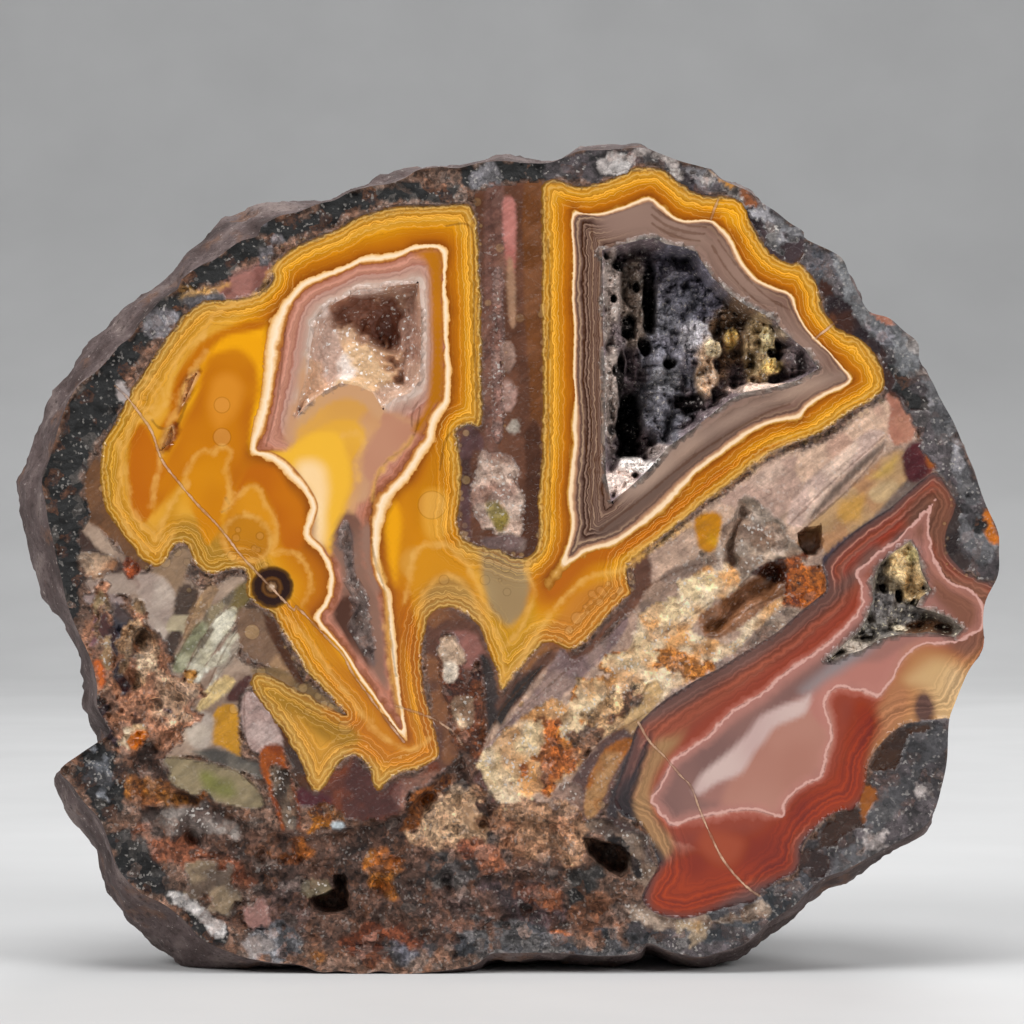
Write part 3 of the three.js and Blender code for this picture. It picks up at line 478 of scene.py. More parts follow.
class Look:
    """A material whose node tree is built by short calls, each of which gives a socket."""

    def __init__(self, name, fields=()):
        self.material = bpy.data.materials.new(name)
        self.material.use_nodes = True
        self.tree = self.material.node_tree
        self.tree.nodes.clear()
        self.fields = list(fields)
        self.read = {}
        here = self.node("TexCoord").outputs["Object"]
        self.here = self.node("VectorMath", {0: here, "Scale": 1 / MM}, operation="SCALE").outputs[0]

    def node(self, kind, inputs=None, **settings):
        """A node with sockets or values for its inputs."""
        made = self.tree.nodes.new("ShaderNode" + kind)
        for key, value in settings.items():
            setattr(made, key, value)
        for key, value in (inputs or {}).items():
            if isinstance(value, bpy.types.NodeSocket):
                self.tree.links.new(value, made.inputs[key])
            else:
                made.inputs[key].default_value = value
        return made

    def math(self, operation, a, b=0.0):
        return self.node("Math", {0: a, 1: b}, operation=operation).outputs[0]

    def add(self, a, b):
        return self.math("ADD", a, b)

    def times(self, a, b):
        return self.math("MULTIPLY", a, b)

    def most(self, a, b):
        return self.math("MAXIMUM", a, b)

    def between(self, value, low, high):
        """0 at low, 1 at high, smooth in between."""
        inputs = {"Value": value, "From Min": low, "From Max": high}
        return self.node("MapRange", inputs, interpolation_type="SMOOTHSTEP").outputs["Result"]

    def edge(self, distance, soft=0.06):
        """Share of what lies inside a line, with a soft edge."""
        return self.between(distance, -soft, soft)

    def split(self, colour):
        """The three channels of a colour."""
        return self.node("SeparateColor", {0: colour}).outputs

    def dot(self, direction):
        """How far along a direction a place is, in mm."""
        inputs = {0: self.here, 1: direction}
        return self.node("VectorMath", inputs, operation="DOT_PRODUCT").outputs["Value"]

    def mix(self, share, a, b, blend="MIX", clamp=False):
        """Colour b laid over colour a to a share."""
        a, b = (tint(c) if isinstance(c, str) else c for c in (a, b))
        inputs = {0: share, 6: a, 7: b}
        made = self.node("Mix", inputs, data_type="RGBA", blend_type=blend, clamp_result=clamp)
        return made.outputs[2]

    def ramp(self, value, stops):
        """Colours by value: stops are (place, colour code or grey level)."""
        made = self.node("ValToRGB", {0: value})
        ladder = made.color_ramp
        ladder.interpolation = "LINEAR"
        while len(ladder.elements) < len(stops):
            ladder.elements.new(1.0)
        for element, (place, _) in zip(ladder.elements, stops):
            element.position = place
        for element, (_, colour) in zip(ladder.elements, stops):
            element.color = tint(colour) if isinstance(colour, str) else (colour, colour, colour, 1.0)
        return made.outputs[0]

    def noise(self, size, detail=2.0, strength=0.5, at=None, warp=0.0):
        """Noise from 0 to 1 with lumps about size mm wide."""
        inputs = {"Vector": at or self.here, "Scale": 1 / size, "Detail": detail, "Roughness": strength,
                  "Distortion": warp}
        return self.node("TexNoise", inputs).outputs[0]

    def channels(self, size, detail, strength):
        """Three separate noises from 0 to 1 with lumps about size mm wide."""
        inputs = {"Vector": self.here, "Scale": 1 / size, "Detail": detail, "Roughness": strength}
        return self.split(self.node("TexNoise", inputs).outputs["Color"])

    def strata(self, place, pitch, detail=3.0, seed=0.0):
        """Noise from 0 to 1 that changes only along place, as thin layers do."""
        inputs = {"W": self.add(place, seed), "Scale": 1 / pitch, "Detail": detail, "Roughness": 0.6}
        return self.node("TexNoise", inputs, noise_dimensions="1D").outputs[0]

    def cells(self, size, output="Color", at=None):
        """Cells about size mm wide, each with a colour of its own, or the distance to their middles."""
        inputs = {"Vector": at or self.here, "Scale": 1 / size}
        return self.node("TexVoronoi", inputs).outputs[output]

    def attribute(self, name, output="Color"):
        return self.node("Attribute", attribute_name=name).outputs[output]

    def field(self, name):
        """One of the distances stored on the mesh, in mm."""
        if name not in self.read:
            index = self.fields.index(name)
            vector = self.attribute(f"field_{index // 3}", "Vector")
            parts = self.node("SeparateXYZ", {0: vector}).outputs
            trio = self.fields[index - index % 3:index - index % 3 + 3]
            for part, other in zip(parts, trio):
                self.read[other] = part
        return self.read[name]

    def finish(self, colour, roughness, height=None, bump=0.1):
        """The finished material, with bumps in mm where a height is given."""
        shader = self.node("BsdfPrincipled", {"Base Color": colour, "Roughness": roughness})
        if height is not None:
            inputs = {"Height": height, "Distance": bump * MM, "Strength": 1.0}
            bumped = self.node("Bump", inputs).outputs[0]
            self.tree.links.new(bumped, shader.inputs["Normal"])
        self.node("OutputMaterial", {"Surface": shader.outputs[0]})
        return self.material


def store_fields(mesh, fields):
    """Keeps named values of each vertex on the mesh, three to an attribute."""
    names = list(fields)
    count = len(mesh.vertices)
    for start in range(0, len(names), 3):
        packed = np.zeros((count, 3), np.float32)
        for column, name in enumerate(names[start:start + 3]):
            packed[:, column] = fields[name]
        layer = mesh.attributes.new(f"field_{start // 3}", "FLOAT_VECTOR", "POINT")
        layer.data.foreach_set("vector", packed.ravel())


def store_colour(mesh, name, values):
    """Keeps a colour of each vertex on the mesh."""
    layer = mesh.attributes.new(name, "FLOAT_COLOR", "POINT")
    layer.data.foreach_set("color", np.asarray(values, np.float32).ravel())


def make_object(name, points, faces, material_of=None, materials=()):
    """An object from points in mm and faces, with a material for each face."""
    mesh = bpy.data.meshes.new(name)
    mesh.from_pydata((np.asarray(points) * MM).tolist(), [], [list(map(int, face)) for face in faces])
    for material in materials:
        mesh.materials.append(material)
    if material_of is not None:
        mesh.polygons.foreach_set("material_index", np.asarray(material_of, np.int32))
    mesh.validate()
    mesh.update()
    made = bpy.data.objects.new(name, mesh)
    bpy.context.scene.collection.objects.link(made)
    return made


def shade(made, degrees):
    """Smooth shading with sharp edges where two faces meet at more than an angle."""
    mesh = made.data
    mesh.shade_smooth()
    mesh.set_sharp_from_angle(angle=math.radians(degrees))


def rim_places():
    """Places along the rim list at even steps, running anticlockwise."""
    return even_places(np.array(RIM), RIM_STEP)[::-1]


def rim_values(place):
    """The sharp rim and the worn rim (x, z, rind) at these places."""
    sharp = np.array(RIM)
    worn = sum(np.roll(sharp, shift, axis=0) for shift in range(-SMOOTH_REACH, SMOOTH_REACH + 1))
    worn = worn / (2 * SMOOTH_REACH + 1)
    return smooth_loop(sharp, place), smooth_loop(worn, place)


def lumps(x, depth, z):
    """Broad, middling and small lumps of the outside, from about -1 to 1."""
    broad = np.sin(x * 0.17 + depth * 0.11 + 1.3) * np.sin(depth * 0.23 - z * 0.13 + 0.4)
    middle = np.sin(x * 0.31 - z * 0.24 + 2.1) * np.sin(depth * 0.34 + x * 0.12 + 1.1)
    small = np.sin(x * 0.53 + z * 0.37) * np.sin(depth * 0.61 - z * 0.43 + 0.8)
    return 0.4 * broad + 0.35 * middle + 0.25 * small


def ring(place, depth):
    """One ring of the outside at a depth behind the face, in mm."""
    sharp, worn = rim_values(place)
    share = ease(*WEAR_DEPTHS, depth)
    x, z, rind = (sharp + (worn - sharp) * share).T
    behind = max(0.0, (depth - BELLY_DEPTH) / (DEPTH - BELLY_DEPTH))
    scale = max(BACK_CAP, math.sqrt(max(0.0, 1 - behind ** DOME_POWER)))
    swell = math.sin(min(1, depth / BELLY_DEPTH) * math.pi / 2)
    centre = CENTRE_LOW + CENTRE_RISE * (depth / DEPTH) ** 3
    dip = FLAT_SPOT_DIP * math.sin(math.pi * min(1, depth / FLAT_SPOT_REACH))
    lump = RIM_LUMP + (BACK_LUMP - RIM_LUMP) * ease(BELLY_DEPTH, FULL_LUMP_DEPTH, depth)
    lump *= ease(0, SHARP_RIM_DEPTH, depth)
    out = np.stack([x, z - STONE_MIDDLE], axis=1)
    out /= np.linalg.norm(out, axis=1)[:, None]
    lift = (rind * BULGE_GAIN + BULGE_BASE) * swell + lump * lumps(x, depth, z)
    wide_x = (x + out[:, 0] * lift) * scale
    wide_z = centre + (z + out[:, 1] * lift - centre) * scale
    low = np.maximum(0, 1 - wide_z / DIP_TOP) ** 1.5
    return np.stack([wide_x, np.full(len(x), FRONT + depth), wide_z - dip * low], axis=1)


def roughened(row, depth):
    """A ring with the crags and blocks of the rind on it, moved into the row frame."""
    grown = ease(0.0, 2.5, depth)
    crag = 0.42 * rough(row, 4.5, 3, 3) + 0.2 * rough(row, 1.1, 2, 11)
    _, _, block = cells(row[:, [0, 2]] + row[:, [1, 1]] * (0.7, -0.4), 2.6, 4)
    push = grown * (crag + 0.35 * (block - 0.5))
    away = row - (0.0, 0.0, 40.0)
    away[:, 1] *= 0.5
    away /= np.linalg.norm(away, axis=1)[:, None]
    row = row + away * (push - 0.25 * grown)[:, None]
    row[:, 1] = np.minimum(row[:, 1], -FRONT)
    row[:, 0] += SIDEWAYS
    row[:, 2] = np.maximum(row[:, 2], 0)
    return row


def outside_rings(place):
    """Rings of the rough outside from just behind the rim to the middle of the back."""
    turns = np.linspace(0, math.acos(BACK_CAP), BACK_RINGS)
    far = [BELLY_DEPTH + (DEPTH - BELLY_DEPTH) * math.sin(t) ** (2 / DOME_POWER) for t in turns]
    depths = RIM_RING_DEPTHS + far
    rings = [ring(place, depth) for depth in depths]
    last = rings[-1]
    middle = last.mean(axis=0)
    for share, back in ((0.66, 0.1), (0.33, 0.15)):
        rings.append(middle + (last - middle) * share + (0, back, 0))
    return [roughened(row, depth) for row, depth in zip(rings, depths + [DEPTH, DEPTH])]


def grid(low, high, step):
    """Places in staggered rows, step apart."""
    x, z = np.meshgrid(np.arange(low[0], high[0], step), np.arange(low[1], high[1], step * 0.87))
    x = x + (np.arange(len(x)) % 2)[:, None] * step / 2
    return np.stack([x.ravel(), z.ravel()], axis=1)


def traced(shape):
    """Line in mm of an outline, given by its name, by its places as text, or as a line already."""
    if isinstance(shape, np.ndarray):
        return shape
    if shape == "matrix":
        return moved(MATRIX_OUTLINE)
    return curve(on_face(OUTLINES.get(shape, shape)))


def within_agates(spots):
    """True for the places inside any of the agates."""
    places = Places(spots)
    return np.any([places.inside(traced(name)) for name in AGATES], axis=0)


def face_spots(rim, orbs):
    """Places for the face's vertices: hollow walls, outlines, inclusions, then an even scatter."""
    pockets = [moved(outline) for outline, _ in LINED_HOLLOWS]
    fixed = []
    for outline in pockets:
        line = curve_straight(outline, POCKET_WALL_STEP)
        fixed += [line, inset(line, POCKET_WALL)]
    for _, width, outline in BARE_HOLLOWS:
        line = curve_straight(moved(outline), HOLLOW_WALL_STEP)
        fixed += [line, inset(line, 0.3 * width), inset(line, 0.65 * width)]
    lines = [traced(name) for name in OUTLINES]
    lines += [curve(on_face(points), LINE_STEP, closed=False) for points in VEINS]
    for half_width, points in PALE_LINES + DARK_LINES:
        line = curve(on_face(points), LINE_STEP, closed=False)
        beside = inset(line, 1.0) - line
        lines += [line, line + 2 * half_width * beside, line - 2 * half_width * beside]
    for x, z, radius, _ in orbs:
        turn = np.linspace(0, 2 * math.pi, max(7, round(radius * 25)), endpoint=False)
        circle = np.stack([np.cos(turn), np.sin(turn)], axis=1) * radius
        lines += [(x, z) + share * circle for share in (0.0, 0.8, 1.15)]
    low, high = rim.min(axis=0), rim.max(axis=0)
    ground = grid(low, high, GROUND_STEP)
    polished = grid(low, high, AGATE_STEP)
    loose = np.concatenate(lines + [ground[~within_agates(ground)], polished[within_agates(polished)]])
    _, first = np.unique(np.floor(loose / LEAST_GAP).astype(int) @ [1, 100000], return_index=True)
    fixed = np.concatenate(fixed)
    loose = np.concatenate([fixed, loose[first]])
    is_fixed = np.arange(len(loose)) < len(fixed)
    places = Places(loose)
    keep = places.inside(rim) & (places.distance(rim, True, 1.0) > RIM_GAP)
    for outline in pockets:
        depth = places.signed(outline, 3.0)
        coarse = (np.floor(loose / POCKET_STEP).astype(int) @ [7, 13]) % 16 == 0
        off_wall = np.abs(depth - POCKET_WALL / 2) > LEAST_GAP
        keep &= is_fixed | (off_wall & ((depth < 0.3) | coarse))
    return loose[keep]


def curve_straight(outline, step):
    """Points along the straight sides of an outline, about step apart."""
    spots = []
    for start, end in zip(outline, np.roll(outline, -1, axis=0)):
        count = max(1, round(np.hypot(*(end - start)) / step))
        spots.append(start + np.linspace(0, 1, count, endpoint=False)[:, None] * (end - start))
    return np.concatenate(spots)


def loop_area(line):
    """Twice the area inside a closed line, positive where it runs anticlockwise."""
    x, z = line.T
    return (x * np.roll(z, -1) - np.roll(x, -1) * z).sum()


def inset(line, gap):
    """A closed line moved inwards."""
    along = np.roll(line, -1, axis=0) - np.roll(line, 1, axis=0)
    along /= np.maximum(np.linalg.norm(along, axis=1), 1e-9)[:, None]
    turned = np.stack([-along[:, 1], along[:, 0]], axis=1)
    return line + turned * gap * np.sign(loop_area(line))


def triangulated(border, loose):
    """Places and triangles of the area within a border, with all the triangles turned to the front."""
    spots = np.concatenate([border, loose])
    made = delaunay_2d_cdt([Vector(p) for p in spots], [], [list(range(len(border)))], 1, 1e-7)
    flat = np.array([tuple(v) for v in made[0]])
    triangles = np.array([face for face in made[2] if len(face) == 3])
    a, b, c = (flat[triangles[:, k]] for k in range(3))
    turn = (b[:, 0] - a[:, 0]) * (c[:, 1] - a[:, 1]) - (b[:, 1] - a[:, 1]) * (c[:, 0] - a[:, 0])
    triangles[turn < 0] = triangles[turn < 0][:, ::-1]
    return flat, triangles


def relief(places, fields, ragged):
    """How deep the face's surface lies under the polish, in mm."""
    spots = places.spots
    agate = np.max([fields[name] for name in AGATES], axis=0)
    bare = ease(0.1, -0.3, agate) * ragged
    grains, _ = points_of_crystals(spots, 0.9, 3)
    depth = bare * np.maximum(0.1 - 0.14 * grains + 0.1 * rough(spots, 2.0, 3, 9), 0.0)
    depth += ease(0.5, 0.9, bare) * 0.5 * np.abs(rough(spots, 1.7, 3, 25))

    # Ledges of the matrix
    crag = np.abs(rough(spots, 4.5, 4, 5)) + 0.6 * np.abs(rough(spots, 1.6, 3, 15))
    bend = np.stack([noise(spots, 1.5, 21), noise(spots, 1.5, 22)], axis=1)
    _, _, block = cells(spots + 0.6 * bend, 2.2, 1)
    ledges = ease(0.0, 1.0, fields["matrix"]) * np.clip(0.25 + 0.9 * crag + 0.35 * block, 0, DEEPEST_LEDGE)
    depth = np.maximum(depth, bare * ledges)
    for x, z, radius, deeper in MATRIX_PITS:
        away = np.hypot(spots[:, 0] - x - SIDEWAYS, spots[:, 1] - z) + 0.5 * noise(spots, 0.9, 8)
        depth += deeper * ease(radius * 1.3, 0.2, away)

    # Pores of the spongy patch
    porous = places.signed(traced("porous"), 2.0)
    near, _, pore = cells(spots, 0.9, 6)
    spongy = 0.1 + 0.7 * ease(0.5, 0.1, near) * ease(0.3, 0.6, pore) + 0.2 * rough(spots, 1.0, 3, 7)
    depth = np.maximum(depth, ease(0.0, 0.5, porous) * spongy)

    for name, deep in SHALLOW_SPOTS:
        inside = places.signed(traced(name), 2.0)
        depth = np.maximum(depth, deep * ease(0.0, 0.4, inside) * (1 + 0.6 * noise(spots, 0.6, 4)))
    for deep, width, outline in BARE_HOLLOWS:
        wall = places.signed(moved(outline), 3.0)
        craggy = wall + 0.15 * noise(spots, 0.7, 3)
        hollow = deep * (ease(0.0, width, craggy) - 0.1 * rough(spots, 1.2, 3, 2) * (wall > 0.2))
        depth = np.where(wall > 0, np.maximum(depth, hollow), depth)
    for outline, deep in LINED_HOLLOWS:
        wall = places.signed(moved(outline), 3.0)
        depth = np.where(wall > 0.01, deep * ease(0.0, POCKET_WALL, wall), depth)
    return depth


def ratio(outer, inner):
    """0 at the outer line, 1 at the inner one."""
    beyond = np.clip(outer, 0, None)
    return beyond / np.maximum(beyond + np.clip(-inner, 0, None), 1e-6)


def line_field(places, lines):
    """Distance in mm inside the nearest of several lines of their own half widths."""
    best = np.full(len(places.spots), -1.0)
    for half_width, shape in lines:
        away = places.distance(curve(on_face(shape), closed=False), False, 1.2)
        best = np.maximum(best, half_width - away)
    return best


def orb_fields(places, orbs):
    """Distance in mm inside the nearest round inclusion, and how pale that one is."""
    inside = np.full(len(places.spots), -3.0)
    paleness = np.zeros(len(places.spots))
    for x, z, radius, pale in orbs:
        near = places.order[0][places.band(0, x - ORB_REACH, x + ORB_REACH)]
        away = radius - np.hypot(*(places.spots[near] - (x, z)).T)
        paleness[near[away > inside[near]]] = pale
        inside[near] = np.maximum(inside[near], away)
    return inside, paleness


def face_fields(places, orbs, ripple):
    """Distances and shares on the face, by name."""
    fields = {name: places.signed(traced(name)) for name in AGATES + ("west_in", "east_in", "red_in")}
    fields["matrix"] = places.signed(traced("matrix"))
    rind = [places.signed(traced(name)) for name in RINDS]
    cover = np.max(rind + [fields["matrix"]], axis=0) + 0.2 * ripple
    for name in ("gold", "red_out"):
        fields[name] = np.minimum(fields[name], -cover)
    eyes = np.maximum(fields["west_out"], fields["east_out"])
    fields["gold_share"] = ratio(fields["gold"], eyes)
    fields["lining"] = ease(*LINING, fields["gold"])
    fields["west_ring"] = ratio(fields["west_out"], fields["west_in"])
    fields["west_share"] = ratio(fields["west_in"], places.signed(traced("druse_rim")))
    fields["east_ring"] = ratio(fields["east_out"], fields["east_in"])
    fields["east_share"] = ratio(fields["east_in"], places.signed(traced("vug_rim")))
    fields["red_share"] = ratio(fields["red_out"], fields["red_in"])
    fields["pale_line"] = line_field(places, PALE_LINES)
    fields["dark_line"] = line_field(places, DARK_LINES)
    cracks = [curve(on_face(points), 0.2, closed=False) for points in VEINS]
    fields["veins"] = np.min([places.distance(crack, False, 3.0) for crack in cracks], axis=0)
    fields["orb"], fields["orb_kind"] = orb_fields(places, orbs)
    fields["eye"] = EYE_RADIUS - np.hypot(*(places.spots - on_face([EYE])[0]).T)
    return fields


def build_stone():
    """The stone: the face within the rim, and rings of the rough outside behind it."""
    place = rim_places()
    sharp, _ = rim_values(place)
    rim = sharp[:, :2] + (SIDEWAYS, 0)
    around = len(rim)
    orbs = all_orbs()
    flat, triangles = triangulated(rim, face_spots(rim, orbs))
    places = Places(flat)
    rocky = Canvas(places, 1.5, 3, 0.4)
    smooth = Canvas(places, 2.6, 2, 1.0)
    fields = face_fields(places, orbs, rocky.ripple)
    paint = painted(rocky, smooth, fields)
    depth = relief(places, fields, paint["texture"][:, 2])
    depth[:around] = 0

    face = np.stack([flat[:, 0], FRONT + depth, flat[:, 1]], axis=1)
    rings = outside_rings(place)
    tip = rings[-1].mean(axis=0)[None] + (0, BACK_TIP, 0)
    points = np.concatenate([face, *rings, tip])
    points[:, 1] = np.minimum(points[:, 1], -FRONT)

    faces = [tuple(triangle) for triangle in triangles]
    start = 0
    for number in range(len(rings)):
        after = len(flat) + number * around
        for i in range(around):
            j = (i + 1) % around
            faces.append((start + i, after + i, after + j, start + j))
        start = after
    faces += [(start + i, len(points) - 1, start + (i + 1) % around) for i in range(around)]
    material_of = np.zeros(len(faces), int)
    material_of[len(triangles):] = 1

    materials = [face_material(list(fields)), rind_material()]
    stone = make_object("agate_stone_look", points, faces, material_of, materials)
    behind = len(points) - len(flat)
    store_fields(stone.data, {name: np.pad(values, (0, behind)) for name, values in fields.items()})
    for name, values in paint.items():
        store_colour(stone.data, name, np.pad(values, ((0, behind), (0, 0)), mode="edge"))
    bake_map(stone.data, len(triangles), around, len(rings))
    shade(stone, SHARP_ANGLE)
    return stone


def bake_map(mesh, face_count, around, rings):
    """The face fills the upper part of the texture, and the outside a strip below it."""
    corners = np.zeros(len(mesh.loops), np.int32)
    mesh.loops.foreach_get("vertex_index", corners)
    points = np.zeros(len(mesh.vertices) * 3)
    mesh.vertices.foreach_get("co", points)
    place = points.reshape(-1, 3)[corners] / MM
    chart = np.stack([MAP_LEFT + (place[:, 0] + FACE_HALF_WIDTH) * FACE_COLUMNS_PER_MM,
                      FACE_LOW + place[:, 2] * FACE_ROWS_PER_MM], axis=1)

    step = MAP_WIDTH / around
    row = STRIP_HEIGHT / (rings + 1)
    left = MAP_LEFT + step * np.arange(around)

    def lay(spot, corners_of):
        """Charts one corner after another, for all the pieces round one ring."""
        spread = np.stack([np.stack([x, np.full(around, z)], axis=1) for x, z in corners_of], axis=1)
        chart[spot:spot + len(corners_of) * around] = spread.reshape(-1, 2)
        return spot + len(corners_of) * around

    spot = 3 * face_count
    for number in range(rings):
        top = STRIP_TOP - row * number
        spot = lay(spot, [(left, top), (left, top - row), (left + step, top - row), (left + step, top)])
    top = STRIP_TOP - row * rings
    lay(spot, [(left, top), (left + step / 2, top - row), (left + step, top)])
    layer = mesh.uv_layers.new(name="OFBake", do_init=False)
    layer.uv.foreach_set("vector", chart.astype(np.float32).ravel())


# How much grit, white specks (partly pale grains, partly painted glints), roughness and streaks each kind
# of surface has
TEXTURES = {
    "polished": (0.12, 0.05, 0.05, 0.5),
    "dusty": (0.3, 0.2, 0.2, 0.7),
    "speckled": (0.8, 0.4, 0.5, 0.0),
    "slate": (0.6, 0.3, 0.35, 0.0),
    "glassy": (0.9, 0.35, 0.8, 0.0),
    "sugary": (0.5, 0.9, 0.9, 0.1),
    "rocky": (1.0, 0.25, 1.0, 0.1),
}

